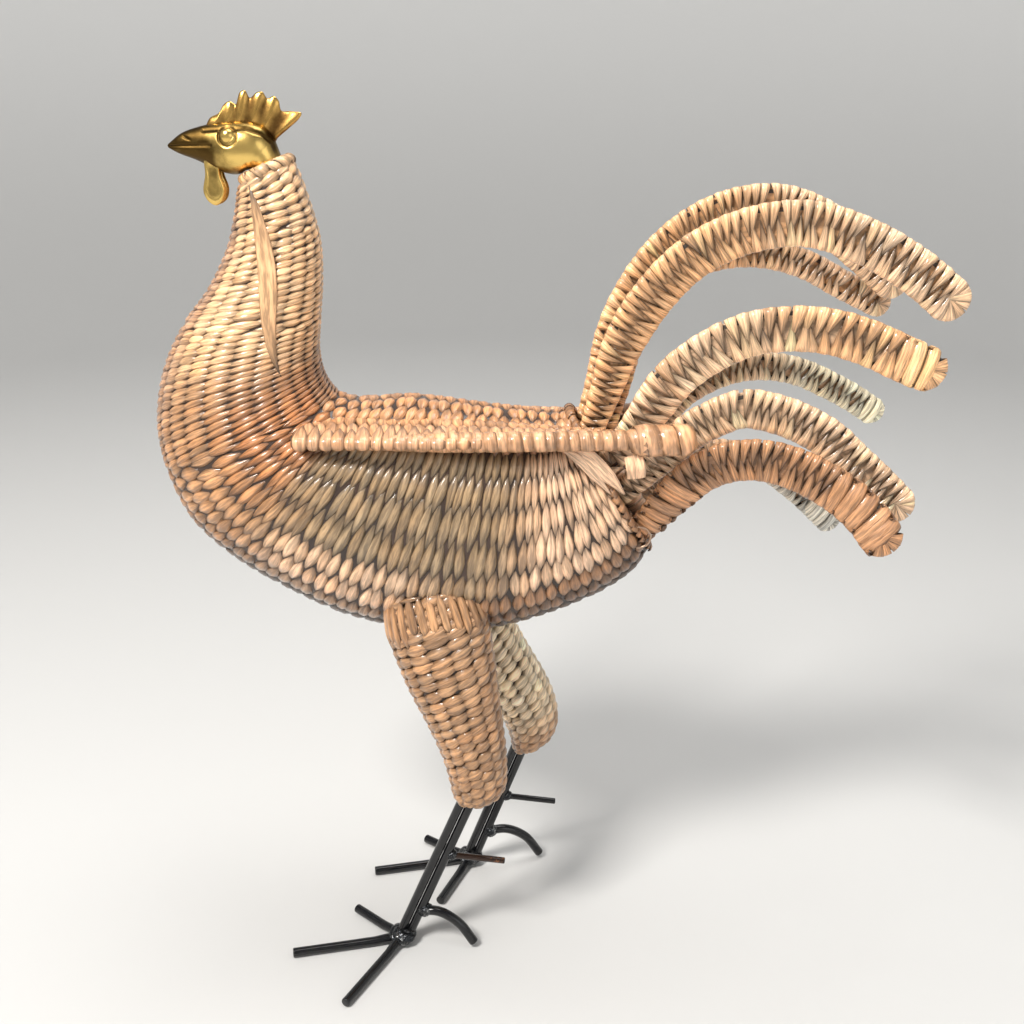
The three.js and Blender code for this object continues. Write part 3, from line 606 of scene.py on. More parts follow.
class Surface:
    """A form that gives a point for every pair of places along and around it.

    Point, heart, normal and tone all take places along and around the form, as two arrays, and
    give an array with three numbers for each pair.
    """

    along_step = 0.02
    around_step = 1.0

    def point(self, along: Array, around: Array) -> Array:
        """The surface's point."""
        raise NotImplementedError

    def heart(self, along: Array, around: Array) -> Array:
        """The point inside the form from which its normal faces away."""
        raise NotImplementedError

    def normal(self, along: Array, around: Array) -> Array:
        """Unit normal: the cross product of the two slopes, turned away from the heart."""
        forward = (self.point(along + self.along_step, around)
                   - self.point(along - self.along_step, around))
        sideways = (self.point(along, around + self.around_step)
                    - self.point(along, around - self.around_step))
        normal = unit(np.cross(forward, sideways))
        outward = self.point(along, around) - self.heart(along, around)
        return normal * np.where(np.sum(normal * outward, -1, keepdims=True) < 0, -1.0, 1.0)

    def tone(self, along: Array, around: Array) -> Array:
        """The colour of the rush at a place."""
        raise NotImplementedError

    def wall(self, rows: Array, columns: Array, depth: float) -> Array:
        """A grid of points a depth below the surface, shaped rows by columns by 3."""
        along, around = np.meshgrid(rows, columns, indexing="ij")
        return self.point(along, around) - depth * self.normal(along, around)

    def paced_rows(self, first: float, last: float, around: float, pitch: float) -> Array:
        """Places along the form that lie a pitch apart on one line.

        Args:
            first: Where the line starts along the form.
            last: Where it ends.
            around: The line's place around the form.
            pitch: The distance wanted, in millimetres.

        Returns:
            The places, in order.
        """
        places = np.linspace(first, last, 300)
        run = lengths_along(self.point(places, np.full(len(places), around)))
        count = int(round(run[-1] / pitch))
        return np.interp(np.linspace(0.0, run[-1], count + 1), run, places)

    def plait(self, form: Form, rows: Array, plan: "Plait", rng: Random,
              span: tuple[int, int] | None = None) -> None:
        """Lay one strand for each row and column, every other column half a row along.

        Args:
            form: Where the strands are added.
            rows: Places of the rows along the surface.
            plan: Its columns and the shape of its strands.
            rng: Random source.
            span: Numbers of the first row and past the last, where not all are laid.
        """
        step = plan.turn / plan.columns
        low, high = span or (0, len(rows) - 1)
        row, column = np.meshgrid(
            np.arange(low, high), np.arange(plan.first, plan.last or plan.columns),
            indexing="ij")
        row, column = row.ravel(), column.ravel()
        count = len(row)
        numbers = np.arange(len(rows))
        middle = row + 0.5 * (column % 2) + rng.normal(0.0, plan.uneven, count)
        lean = plan.lean + rng.normal(0.0, plan.uneven, count)
        overlap = plan.overlap + rng.normal(0.0, 0.05, (2, count))
        start = np.stack([
            np.interp(middle + lean, numbers, rows), (column - overlap[0]) * step], 1)
        end = np.stack([
            np.interp(middle - lean, numbers, rows), (column + 1 + overlap[1]) * step], 1)
        centre = (column + 0.5) * step
        ahead = self.point(np.interp(middle + 0.5, numbers, rows), centre)
        behind = self.point(np.interp(middle - 0.5, numbers, rows), centre)
        width = np.linalg.norm(ahead - behind, axis=1) * rng.normal(plan.cover, 0.06, count)
        height = np.clip(plan.plump * width, 1.0, plan.tallest)
        tones = self.tone(np.interp(middle, numbers, rows), centre)
        plan.strand.lay(form, self, start, end, width, height, varied(tones, count, rng), rng)


@dataclass(frozen=True)
class Strand:
    """How a visible length of rush is shaped between the two places where it goes under.

    Rings and sides are counts. Taper is the share of half the length over which it widens, and
    roundness the power that it widens with. Sink is how deep its ends go, rise how high its crest
    is, both in millimetres, and belly its depth below the centre line as a share of its height.
    """

    rings: int = 9
    sides: int = 7
    taper: float = 1.0
    roundness: float = 1.6
    sink: float = 1.3
    rise: float = 0.0
    belly: float = 0.45

    def lay(self, form: Form, surface: Surface, start: Array, end: Array, width: Array,
            height: Array, tint: Array, rng: Random,
            bow: Array | float = 0.0, lift: Array | float = 0.0) -> None:
        """Lay strands on a surface.

        Each strand's centre line runs from its start to its end. Its width swells from both ends
        as one minus a power of what is left of the taper, and its ends sink into the form.

        Args:
            form: Where the strands are added.
            surface: What they lie on.
            start: Places along and around where they begin, one row a strand.
            end: Places where they end.
            width: Full widths at the middle.
            height: Heights of the crest above the centre line.
            tint: Colours, one row a strand.
            rng: Source of each strand's UV offset.
            bow: How far the middle is shifted along the surface.
            lift: How far each strand is raised beside its neighbours.
        """
        share = np.linspace(0.0, 1.0, self.rings)[None, :]
        filled = np.clip((1.0 - np.abs(2.0 * share - 1.0)) / self.taper, 0.0, 1.0)
        swell = np.maximum(1.0 - (1.0 - filled) ** self.roundness, 0.05)
        shift = np.asarray(bow, float).reshape(-1, 1) * np.sin(np.pi * share)
        along = start[:, :1] + (end - start)[:, :1] * share + shift
        around = start[:, 1:] + (end - start)[:, 1:] * share
        normal = surface.normal(along, around)
        raise_by = np.asarray(lift, float).reshape(-1, 1) + self.rise
        depth = raise_by - height[:, None] - self.sink * (1.0 - swell)
        centre = surface.point(along, around) + normal * depth[..., None]
        travel = unit(np.gradient(centre, axis=1))
        aside = unit(np.cross(normal, travel))
        raised = np.cross(travel, aside)
        angle = (np.arange(self.sides) + 0.5) * 2 * np.pi / self.sides
        across, above = np.cos(angle), np.sin(angle)
        above = np.where(above < 0, self.belly * above, above)
        half = 0.5 * width[:, None] * swell
        tall = height[:, None] * np.sqrt(swell)
        rings = (
            centre[:, :, None]
            + aside[:, :, None] * (half[..., None] * across)[..., None]
            + raised[:, :, None] * (tall[..., None] * above)[..., None]
        )
        # The crest value, low on the sides, the underside and the sunken ends, is turned into
        # painted shade by the rush finish, and its high values into a painted highlight.
        upper_share = (above + self.belly) / (1 + self.belly)
        crest = upper_share * (0.25 + 0.75 * swell[..., None])
        crest = np.broadcast_to(crest, rings.shape[:3])
        form.tubes(rings, tint, crest, shift=rng.uniform(0.0, 90.0, len(rings)))


@dataclass(frozen=True)
class Plait:
    """How strands step round a form.

    Turn is how far around all the columns go, from column first to column last. Lean is in rows
    and overlap in columns. Cover is a strand's width as a share of a row, plump its height as a
    share of its width, and tallest the limit of that height in millimetres.
    """

    columns: int
    first: int = 0
    last: int = 0
    turn: float = 360.0
    lean: float = 0.5
    overlap: float = 0.36
    uneven: float = 0.06
    cover: float = 1.26
    plump: float = 0.36
    tallest: float = 2.6
    strand: Strand = Strand()


def varied(tone: Array, count: int, rng: Random, spread: float = 0.12) -> Array:
    """Colours scattered around a tone, lighter or darker and a little warmer or cooler.

    Args:
        tone: One colour, or one for each strand.
        count: How many strands there are.
        rng: Random source.
        spread: The scatter of the brightness.

    Returns:
        One colour a strand.
    """
    light = rng.normal(1.0, spread, (count, 1))
    warmth = rng.normal(0.0, 0.04, (count, 1)) * np.array([0.4, -0.2, -1.0])
    return np.clip(tone * np.clip(light, 0.6, 1.4) * (1.0 + warmth), 0.0, 1.0)


@dataclass(frozen=True)
class Zone:
    """A patch of one colour on the body, faded along its stations and round its turn in degrees.

    A fade is the place where it starts and how far it runs. Where it runs a negative way, the
    colour falls to nothing at the start instead of rising from it.
    """

    tone: Tone
    stations: tuple
    turns: tuple = ()
    strength: float = 1.0

    def weight(self, station: Array, turn: Array) -> Array:
        """The product of all the zone's fades, each an S-shaped ramp.

        Args:
            station: Places along the body.
            turn: Degrees from the middle of the back, to either side.

        Returns:
            How strong the zone's colour is, from 0 to its strength.
        """
        product = np.full(np.shape(station), self.strength)
        for place, fades in ((station, self.stations), (turn, self.turns)):
            for start, reach in fades:
                product = product * smoothstep((place - start) / reach)
        return product


ZONES = (
    Zone(Tone.PEACH, ((13.6, 1.4),), ((130, -18),)),
    Zone(Tone.OLIVE, ((9.0, 1.0), (15.2, -1.6)), ((124, -16),)),
    Zone(Tone.CHEST, ((5.0, 1.6), (11.0, -2.2)), ((76, 20), (172, -30))),
    Zone(Tone.BACK, ((7.6, 0.8),), ((50, -8),)),
    Zone(Tone.SADDLE, ((6.6, 0.9), (9.9, -0.9)), ((22, 16), (108, -22))),
    Zone(Tone.NECK, ((6.8, -1.6),)),
    Zone(Tone.THROAT, ((8.0, -2.0),), ((128, 26),)),
    Zone(Tone.PEACH, ((9.6, 1.2), (13.6, -1.4)), ((100, 14),), 0.75),
    # Painted shade on the lower belly.
    Zone(Tone.UNDERSIDE, ((8.4, 2.0),), ((124, 34),)),
)


@dataclass(frozen=True)
class Body(Surface):
    """Body and neck from the neck opening to the tail opening.

    A station is a row: back y, back z, front y, front z, half width. Places along the body are
    counted in stations, and places around it in degrees from the middle of the back.
    """

    stations: tuple = (
        (-152, 611, -179, 600, 15), (-146, 606, -187, 590, 20), (-137, 581, -190, 577, 25),
        (-131, 554, -197, 552, 28), (-131, 526, -212, 524, 32), (-134, 498, -233, 497, 36),
        (-136, 477, -250, 464, 41), (-133, 459, -258, 425, 47), (-125, 447, -254, 392, 53),
        (-115, 443, -238, 353, 58), (-98, 443, -208, 322, 61), (-77, 445, -169, 296, 62),
        (-52, 443, -128, 275, 62), (-23, 439, -79, 263, 61), (5, 436, -25, 261, 58),
        (24, 434, 27, 274, 53), (34, 434, 75, 296, 48), (39, 435, 95, 312, 43),
        (42, 435, 106, 331, 38),
    )
    power: float = 2.2
    columns: int = 24
    pitch: float = 8.4
    fine_pitch: float = 5.2
    bands: Pair = (2.6, 5.0)
    band_columns: tuple[int, int, int] = (12, 18, 24)
    neck_start: float = 0.3
    neck_end: float = 8.0
    tail_end: float = 17.9
    rim_end: float = 17.8
    neck_line: float = 100.0
    back_line: float = 32.0
    flank_line: float = 120.0
    strand_rise: float = -0.9
    leaf_path: tuple = ((1.2, 114.0), (6.4, 54.0))
    leaf_width: float = 12.5
    leaf_height: float = 0.9
    wall_depth: float = 4.5
    core_depth: float = 3.0

    def frame_at(self, station: Array) -> tuple[Array, Array, Array, Array]:
        """Measure a section between the curves of the back, the front and the half widths.

        Args:
            station: Places along the body.

        Returns:
            Centre, direction to the back, half length and half width.
        """
        table = np.array(self.stations, float)
        nought = np.zeros((len(table), 1))
        back = Curve(np.hstack([nought, table[:, 0:2]])).at(station)
        front = Curve(np.hstack([nought, table[:, 2:4]])).at(station)
        half_width = Curve(np.hstack([table[:, 4:5], nought, nought])).at(station)[..., 0]
        half_length = np.linalg.norm(back - front, axis=-1) / 2
        return (back + front) / 2, unit(back - front), half_length, half_width

    def point(self, along: Array, around: Array) -> Array:
        """A rounded section: 0 degrees is the back and 90 the bird's left side."""
        centre, to_back, half_length, half_width = self.frame_at(along)
        angle = np.radians(around)
        cosine, sine = np.cos(angle), np.sin(angle)
        length = np.sign(cosine) * np.abs(cosine) ** (2 / self.power) * half_length
        width = np.sign(sine) * np.abs(sine) ** (2 / self.power) * half_width
        return centre + to_back * length[..., None] + ACROSS * width[..., None]

    def heart(self, along: Array, around: Array) -> Array:
        """The section's centre."""
        return self.frame_at(along)[0]

    def tone(self, along: Array, around: Array) -> Array:
        """Colour of the rush at a place: each zone is laid over the ones before it."""
        turn = np.abs((around + 180.0) % 360.0 - 180.0)
        colour = np.broadcast_to(Tone.BELLY.linear, (*np.shape(along), 3))
        for zone in ZONES:
            colour = lerp(colour, zone.tone.linear, zone.weight(along, turn)[..., None])
        return colour

    def border(self, form: Form, station: float, depth: float, radius: float, winding: "Wrap",
               tone: Tone, rng: Random) -> None:
        """Wind strips round the edge of an opening.

        Args:
            form: Where they are added.
            station: The opening's place along the body.
            depth: How deep the roll's line lies below the skin.
            radius: The roll's radius.
            winding: The strips' spacing and shape.
            tone: Their colour.
            rng: Random source.
        """
        rim = self.wall(np.array([station]), np.arange(0.0, 361.0, 6.0), depth)[0]
        Roll(rim, UP, np.full(len(rim), radius)).wrap(form, winding, tone.linear, rng)

    def neck(self, rng: Random) -> None:
        """Make the neck: fine strands in bands that gain columns downwards, a leaf and a border.

        Args:
            rng: Random source.
        """
        form = Form()
        rows = self.paced_rows(self.neck_start, self.neck_end, self.neck_line, self.fine_pitch)
        first, second = np.searchsorted(rows, self.bands)
        spans = ((0, first), (first, second), (second, len(rows) - 1))
        strand = Strand(rise=self.strand_rise)
        for span, columns in zip(spans, self.band_columns):
            plan = Plait(columns, lean=-0.5, overlap=0.42, tallest=2.3, strand=strand)
            self.plait(form, rows, plan, rng, span)
        path = np.array(self.leaf_path)
        Strand(rings=60, sides=15, taper=0.95, roundness=1.6, sink=0.4, rise=-0.2, belly=4.0).lay(
            form, self, path[:1], path[1:], np.array([self.leaf_width]),
            np.array([self.leaf_height]), Tone.LEAF_FOLD.linear[None], rng)
        winding = Wrap(pitch=7.6, lean=1.7, turn=(-165.0, 165.0), height=1.7)
        self.border(form, 0.42, 2.6, 3.9, winding, Tone.NECK, rng)
        form.piece("neck_weave_strands", Finish.WEAVE, Slot.RUSH, "body_weave")

    def trunk(self, rng: Random) -> None:
        """Make the trunk's strands, whose rows are paced apart on the back and on the flanks.

        Args:
            rng: Random source.
        """
        form = Form()
        eighth = self.columns // 8
        strand = Strand(rise=self.strand_rise)
        for first, last, line in ((-eighth, eighth, self.back_line),
                                  (eighth, self.columns - eighth, self.flank_line)):
            rows = self.paced_rows(self.neck_end - 0.1, self.tail_end, line, self.pitch)
            plan = Plait(
                self.columns, first, last, lean=0.0, overlap=0.3, uneven=0.09, strand=strand)
            self.plait(form, rows, plan, rng)
        winding = Wrap(pitch=6.6, lean=1.2, turn=(-150.0, 150.0))
        self.border(form, self.rim_end, 2.2, 3.2, winding, Tone.BELLY, rng)
        form.piece("trunk_weave_strands", Finish.WEAVE, Slot.RUSH, "body_weave")

    def core(self) -> None:
        """Make the dark shell under the strands: its outer skin down and its inner skin back up."""
        form = Form()
        stations = np.linspace(0.15, 17.95, 110)
        around = np.arange(0.0, 360.0, 5.0)
        outer = self.wall(stations, around, self.core_depth)
        inner = self.wall(stations[::-1], around, self.wall_depth)
        # The shell's dark tint is painted shade, seen through the gaps between strands.
        form.tubes(np.concatenate([outer, inner])[None], Tone.DARK.linear, 0.5, joined=True)
        form.piece("body_weave_core", Finish.CORE, Slot.RUSH, "body_weave")

    def build(self, rng: Random) -> None:
        """Make the neck, the trunk and the dark core under their strands.

        Args:
            rng: Random source.
        """
        self.neck(rng)
        self.trunk(rng)
        self.core()


@dataclass(frozen=True)
class Wrap:
    """A winding of strips round a roll.

    Pitch is their distance along the roll, lean how far a strip shifts over its turn, in pitches,
    and turn where it starts and ends, in degrees. Cover is a strip's width in pitches, height how
    high its crest is, unevenness its scatter in pitches, and every other strip lies step_up higher.
    """

    pitch: float
    lean: float = 0.5
    turn: Pair = (-95.0, 265.0)
    cover: float = 1.34
    height: float = 1.0
    unevenness: float = 0.06
    step_up: float = 0.3
    strand: Strand = Strand(rings=14, sides=6, taper=0.3, sink=0.7, rise=0.2)


@dataclass(frozen=True)
class Roll(Surface):
    """A roll carried along a line, round or flattened along the given side direction."""

    line: Array
    side: Array
    radii: Array
    flat: float = 1.0
    around_step = 3.0
    along_step = 0.4

    def parts(self, along: Array) -> tuple[Array, Array, Array, Array]:
        """Find the roll's section at distances along its line.

        Args:
            along: The distances.

        Returns:
            Centre, first and second direction of the section and radius.
        """
        run = lengths_along(self.line)
        travel = unit(np.gradient(self.line, run, axis=0))
        first = unit(self.side - travel * (travel @ self.side)[:, None])
        second = np.cross(travel, first)
        ahead = np.asarray(along, float)
        centre, first, second = (
            np.stack([np.interp(ahead, run, table[:, axis]) for axis in range(3)], -1)
            for table in (self.line, first, second)
        )
        return centre, unit(first), unit(second), np.interp(ahead, run, self.radii)

    def point(self, along: Array, around: Array) -> Array:
        """A circle of the line's radius, turned by degrees from the side direction."""
        centre, first, second, radius = self.parts(along)
        angle = np.radians(around)
        across = (first * self.flat * np.cos(angle)[..., None]
                  + second * np.sin(angle)[..., None])
        return centre + across * radius[..., None]

    def heart(self, along: Array, around: Array) -> Array:
        """The line itself."""
        return self.parts(along)[0]

    def wrap(self, form: Form, winding: Wrap, tone: Array, rng: Random) -> None:
        """Wind strips round the whole roll.

        Args:
            form: Where the strips are added.
            winding: Their spacing and shape.
            tone: Their colour.
            rng: Random source.
        """
        length = float(lengths_along(self.line)[-1])
        count = max(int(round(length / winding.pitch)), 1)
        step = length / count
        middle = (np.arange(count) + 0.5) * step
        middle = middle + rng.normal(0.0, winding.unevenness * step, count)
        slant = 0.5 * winding.lean * step * rng.normal(1.0, 0.12, count)
        start = np.stack([middle - slant, np.full(count, winding.turn[0])], 1)
        end = np.stack([middle + slant, np.full(count, winding.turn[1])], 1)
        width = winding.cover * step * rng.normal(1.0, 0.07, count)
        winding.strand.lay(
            form, self, start, end, width, np.full(count, winding.height),
            varied(tone, count, rng), rng, lift=winding.step_up * (np.arange(count) % 2))

    def solid(self, form: Form, shrink: float, tone: Array, sides: int = 24,
              edge: float = 0.0) -> None:
        """Add the roll itself as a smooth bar.

        Args:
            form: Where it is added.
            shrink: How much smaller than the roll's radius it is.
            tone: Its colour.
            sides: Points round the section.
            edge: Width of the worn edge at both ends.
        """
        stops = lengths_along(self.line)
        if edge:
            last = stops[-1]
            inner = stops[(stops > 1.5 * edge) & (stops < last - 1.5 * edge)]
            ends = np.array([0.0, 0.15, 0.5, 1.0]) * edge
            stops = np.concatenate(
                [ends, [1.5 * edge], inner, [last - 1.5 * edge], last - ends[::-1]])
        centre, first, second, radius = self.parts(stops)
        radius = radius - shrink
        if edge:
            cut = edge * np.array([1.0, 0.5, 0.13, 0.0])
            radius[:4] -= cut
            radius[-4:] -= cut[::-1]
        angle = np.arange(sides) * 2 * np.pi / sides
        rings = (
            centre[:, None]
            + first[:, None] * (self.flat * radius[:, None] * np.cos(angle))[..., None]
            + second[:, None] * (radius[:, None] * np.sin(angle))[..., None]
        )
        form.tubes(rings[None], tone)


def bent(corners: list[Array], radius: float, steps: int = 8) -> Array:
    """A line through corners, with each inner corner rounded by a quadratic curve.

    Args:
        corners: The corners in order.
        radius: How far from a corner its curve begins.
        steps: How many steps each curve has.

    Returns:
        Points of the line.
    """
    pieces = [corners[0][None]]
    share = np.linspace(0.0, 1.0, steps + 1)[:, None]
    for before, corner, after in zip(corners, corners[1:], corners[2:]):
        start = corner + unit(before - corner) * radius
        end = corner + unit(after - corner) * radius
        pieces.append((1 - share) ** 2 * start + 2 * share * (1 - share) * corner + share**2 * end)
    pieces.append(corners[-1][None])
    return np.concatenate(pieces)


@dataclass(frozen=True)
class Leg:
    """One leg: its place, its thigh's shape and its toes by direction and length."""

    name: str
    side: float
    bottom: Pair
    swell: float
    shank_y: float
    foot: Pair
    toes: tuple
    hind: Triple
    spur_height: float
    tone: Tone
    hip: Triple = (38.0, -54.0, 275.0)
    bottom_x: float = 43.0
    knee_z: float = 127.0
    hock_z: float = 146.0
    shank_end: float = 4.0
    rod: float = 7.0
    toe_rod: float = 8.0
    toe_start: float = 9.5
    toe_rise: float = 1.5
    spur_rod: float = 5.0
    spur_reach: Triple = (0.0, 46.0, -6.0)
    worn_edge: float = 0.8
    gap: float = 0.3
    bend: float = 14.0
    top_step: Pair = (-6.0, 60.0)

    def rod_line(self, offset: float) -> Array:
        """The centre line of one of the two leg rods, bent at the hock and the hip.

        Args:
            offset: How far it is set off to the rear, or to the front where negative.

        Returns:
            Points from the foot up.
        """
        foot_x, foot_y = self.foot
        lean = (self.shank_y - foot_y) / (self.knee_z - self.shank_end)
        hip_x = self.side * self.hip[0]
        corners = [
            np.array([foot_x, foot_y, self.shank_end]),
            np.array([self.side * self.bottom_x,
                      foot_y + lean * (self.hock_z - self.shank_end), self.hock_z]),
            np.array([hip_x, self.hip[1], self.hip[2]]),
            np.array([hip_x, self.hip[1] + self.top_step[0], self.hip[2] + self.top_step[1]]),
        ]
        line = bent(corners, self.bend)
        travel = np.gradient(line, axis=0)
        travel[:, 0] = 0.0
        travel = unit(travel)
        return line + offset * np.stack(
            [np.zeros(len(line)), travel[:, 2], -travel[:, 1]], 1)

    def shank_point(self, height: float) -> Array:
        """A point of the rear leg rod at a height."""
        line = self.rod_line((self.rod + self.gap) / 2)
        return np.stack([np.interp(height, line[:3, 2], line[:3, axis]) for axis in range(3)])

    def bar(self, name: str, line: Array, diameter: float, finish: Finish) -> None:
        """Make one painted bar with worn square-cut ends.

        Args:
            name: The name of the piece and of the CAD node that it replaces.
            line: Its centre line.
            diameter: Its thickness.
            finish: Its finish.
        """
        form = Form()
        side = UP if abs(line[-1, 2] - line[0, 2]) < 0.5 * diameter else ACROSS
        Roll(line, side, np.full(len(line), diameter / 2)).solid(
            form, 0.0, Tone.DARK.linear, edge=self.worn_edge)
        form.piece(name, finish, Slot.BLACK_IRON, name)

    def bead(self, name: str, centre: Array, radii: Triple, seed: int, *nodes: str) -> None:
        """Make a lumpy weld bead: an ellipsoid roughened by a few sine waves.

        Args:
            name: The piece's name.
            centre: Its place.
            radii: Half sizes along the three axes.
            seed: Seed of its waves.
            nodes: The CAD nodes that it replaces.
        """
        rng = np.random.default_rng(seed)
        rows, columns, pole = 34, 48, 0.03
        rise = np.linspace(-np.pi / 2 + pole, np.pi / 2 - pole, rows)[:, None]
        turn = np.linspace(0.0, 2 * np.pi, columns + 1)[:-1][None, :]
        shape = np.ones((rows, columns))
        for _ in range(9):
            waves = rng.integers(2, 7)
            phase = rng.uniform(0.0, 6.3, 2)
            amount = rng.uniform(0.02, 0.05)
            shape = shape + amount * np.sin(waves * turn + phase[0]) * np.sin(
                waves * 1.6 * rise + phase[1])
        shape = np.minimum(shape, 1.08)
        rings = np.stack([
            shape * np.cos(rise) * np.cos(turn) * radii[0],
            shape * np.cos(rise) * np.sin(turn) * radii[1],
            np.maximum(shape * np.sin(rise), -1.0) * radii[2],
        ], -1)
        form = Form()
        form.tubes((rings + centre)[None], Tone.DARK.linear)
        form.piece(name, Finish.WELD, Slot.BLACK_IRON, *nodes)

    def shank(self) -> None:
        """Make the leg's two rods, side by side."""
        spacing = (self.rod + self.gap) / 2
        self.bar(f"{self.name}_leg_front_rod", self.rod_line(-spacing), self.rod, Finish.PAINT)
        self.bar(f"{self.name}_leg_rear_rod", self.rod_line(spacing), self.rod, Finish.PAINT)

    def front_toes(self) -> None:
        """Make the toes, which drop from the weld bead to the floor, and the bead."""
        foot = np.array([*self.foot, 0.0])
        height = self.toe_rod / 2 * math.cos(math.pi / 8)
        for toe, degrees, length in self.toes:
            angle = math.radians(degrees)
            ahead = np.array([math.sin(angle), -math.cos(angle), 0.0])
            stops = np.array([self.toe_start, 15.0, 22.0, 30.0, length])
            share = smoothstep((stops - self.toe_start) / 14.0)
            lift = height + self.toe_rise * (1.0 - share)
            line = foot + ahead * stops[:, None] + UP * lift[:, None]
            self.bar(f"{self.name}_{toe}_toe", line, 2 * height, Finish.PAINT)
        name = f"{self.name}_foot_weld"
        self.bead(name, foot + UP * 7.4, (11.2, 11.2, 6.8), 3, name)

    def hind_toe(self) -> None:
        """Make the curved toe behind, and the bead that holds it to the rear rod."""
        rise, reach, aside = self.hind
        root = self.shank_point(rise)
        line = Curve(np.array([
            root, root + [0.3 * aside, 0.36 * reach, 0.0],
            root + [0.68 * aside, 0.72 * reach, -0.3 * rise],
            [root[0] + aside, root[1] + reach, 4.2],
        ])).paced(np.linspace(0.0, 1.0, 24))
        self.bar(f"{self.name}_hind_toe", line, self.toe_rod - self.gap, Finish.PAINT)
        self.bead(f"{self.name}_hind_weld", root + [0.0, 3.5, 0.6], (5.8, 6.4, 5.6), 5)

    def spur(self) -> None:
        """Make the spur, with a painted bronze reflection on the near leg, and its bead."""
        root = self.shank_point(self.spur_height)
        line = root + np.linspace(0.06, 1.0, 6)[:, None] * np.array(self.spur_reach)
        # The near leg's spur gets a painted bronze reflection.
        finish = Finish.BRONZED if self.side > 0 else Finish.PAINT
        self.bar(f"{self.name}_spur", line, self.spur_rod, finish)
        self.bead(f"{self.name}_spur_weld", root + [0.0, 4.0, 0.0], (4.6, 4.6, 4.4), 8)

    def build(self) -> None:
        """Make the rods, toes, spur and weld beads of one leg."""
        self.shank()
        self.front_toes()
        self.hind_toe()
        self.spur()


@dataclass(frozen=True)
class Thigh(Surface):
    """The woven sleeve of a thigh. A row: share from hip to bottom, half length, half width."""

    leg: Leg
    stations: tuple = (
        (-0.26, 34, 17), (-0.1, 38, 24), (0, 38.5, 28), (0.25, 35, 27), (0.5, 29, 26),
        (0.75, 24.5, 24.5), (0.9, 22.5, 23), (0.97, 19.5, 20), (1, 14, 14),
    )
    columns: int = 14
    pitch: float = 7.9
    cuff_strands: int = 13
    cuff_turn: float = 78.0

    def parts(self, along: Array) -> tuple[Array, Array, Array, Array]:
        """Measure a section of the sleeve, whose axis bulges to the rear by a sine.

        Args:
            along: Places along the thigh, in rows of its table.

        Returns:
            Centre, forward direction, half length and half width.
        """
        row = Curve(np.array(self.stations, float)).at(along)
        share, half_length, half_width = row[..., 0], row[..., 1], row[..., 2]
        leg = self.leg
        top = np.array([leg.side * leg.hip[0], leg.hip[1], leg.hip[2]])
        bottom = np.array([leg.side * leg.bottom_x, *leg.bottom])
        forward = np.cross(unit(bottom - top), ACROSS)
        bulge = leg.swell * np.sin(np.pi * np.clip(share, 0.0, 1.0) ** 2)
        centre = top + (bottom - top) * share[..., None]
        centre = centre + REARWARD * bulge[..., None]
        return centre, forward, half_length, half_width

    def point(self, along: Array, around: Array) -> Array:
        """An oval section: 0 degrees is forward and 90 the side of +X."""
        centre, forward, half_length, half_width = self.parts(along)
        angle = np.radians(around)
        return (centre + forward * (np.cos(angle) * half_length)[..., None]
                + ACROSS * (np.sin(angle) * half_width)[..., None])

    def heart(self, along: Array, around: Array) -> Array:
        """The sleeve's axis, a little way up."""
        return self.parts(np.asarray(along) - 0.4)[0]

    def tone(self, along: Array, around: Array) -> Array:
        """The leg's tone, which turns to the near thigh's towards the bottom."""
        warm = smoothstep((np.asarray(along) - 4.2) / 2.0)[..., None]
        return lerp(self.leg.tone.linear, Tone.NEAR_THIGH.linear, warm)

    def weave(self, form: Form, rng: Random) -> None:
        """Lay the strands in rows round the leg.

        Args:
            form: Where they are added.
            rng: Random source.
        """
        rows = self.paced_rows(0.1, 7.72, 90.0, self.pitch)
        plan = Plait(self.columns, lean=0.46, overlap=0.4, uneven=0.08, cover=1.42, plump=0.34,
                     tallest=3.4, strand=Strand(rise=0.3, sink=1.2))
        self.plait(form, rows, plan, rng)

    def cuff(self, form: Form, rng: Random) -> None:
        """Lay upright strands over the join with the body, longer in front and behind.

        Args:
            form: Where they are added.
            rng: Random source.
        """
        count = self.cuff_strands
        around = 90.0 * self.leg.side + np.linspace(-self.cuff_turn, self.cuff_turn, count)
        low = 1.5 + 0.8 * np.abs(np.cos(np.radians(around))) + rng.normal(0.0, 0.12, count)
        Strand(rings=26, sides=7, taper=0.6, roundness=1.7, rise=0.9).lay(
            form, self, np.stack([np.full(count, 0.02), around], 1),
            np.stack([low, around + rng.normal(3.0, 2.0, count)], 1),
            rng.normal(7.6, 0.5, count), np.full(count, 2.2),
            varied(lerp(self.leg.tone.linear, Tone.CHEST.linear, 0.5), count, rng), rng)

    def build(self, rng: Random) -> None:
        """Make the strands of one thigh and the core under them.

        Args:
            rng: Random source.
        """
        name = f"{self.leg.name}_thigh_weave"
        form = Form()
        self.weave(form, rng)
        self.cuff(form, rng)
        form.piece(f"{name}_strands", Finish.WEAVE, Slot.PALE_RUSH, name)
        # The core's dark tint is painted shade, seen through the gaps between strands.
        core = Form()
        outer = self.wall(np.linspace(1.4, 8.0, 60), np.arange(0.0, 360.0, 8.0), 3.0)
        core.tubes(outer[None], Tone.DARK.linear, 0.5)
        core.piece(f"{name}_core", Finish.CORE, Slot.PALE_RUSH, name)


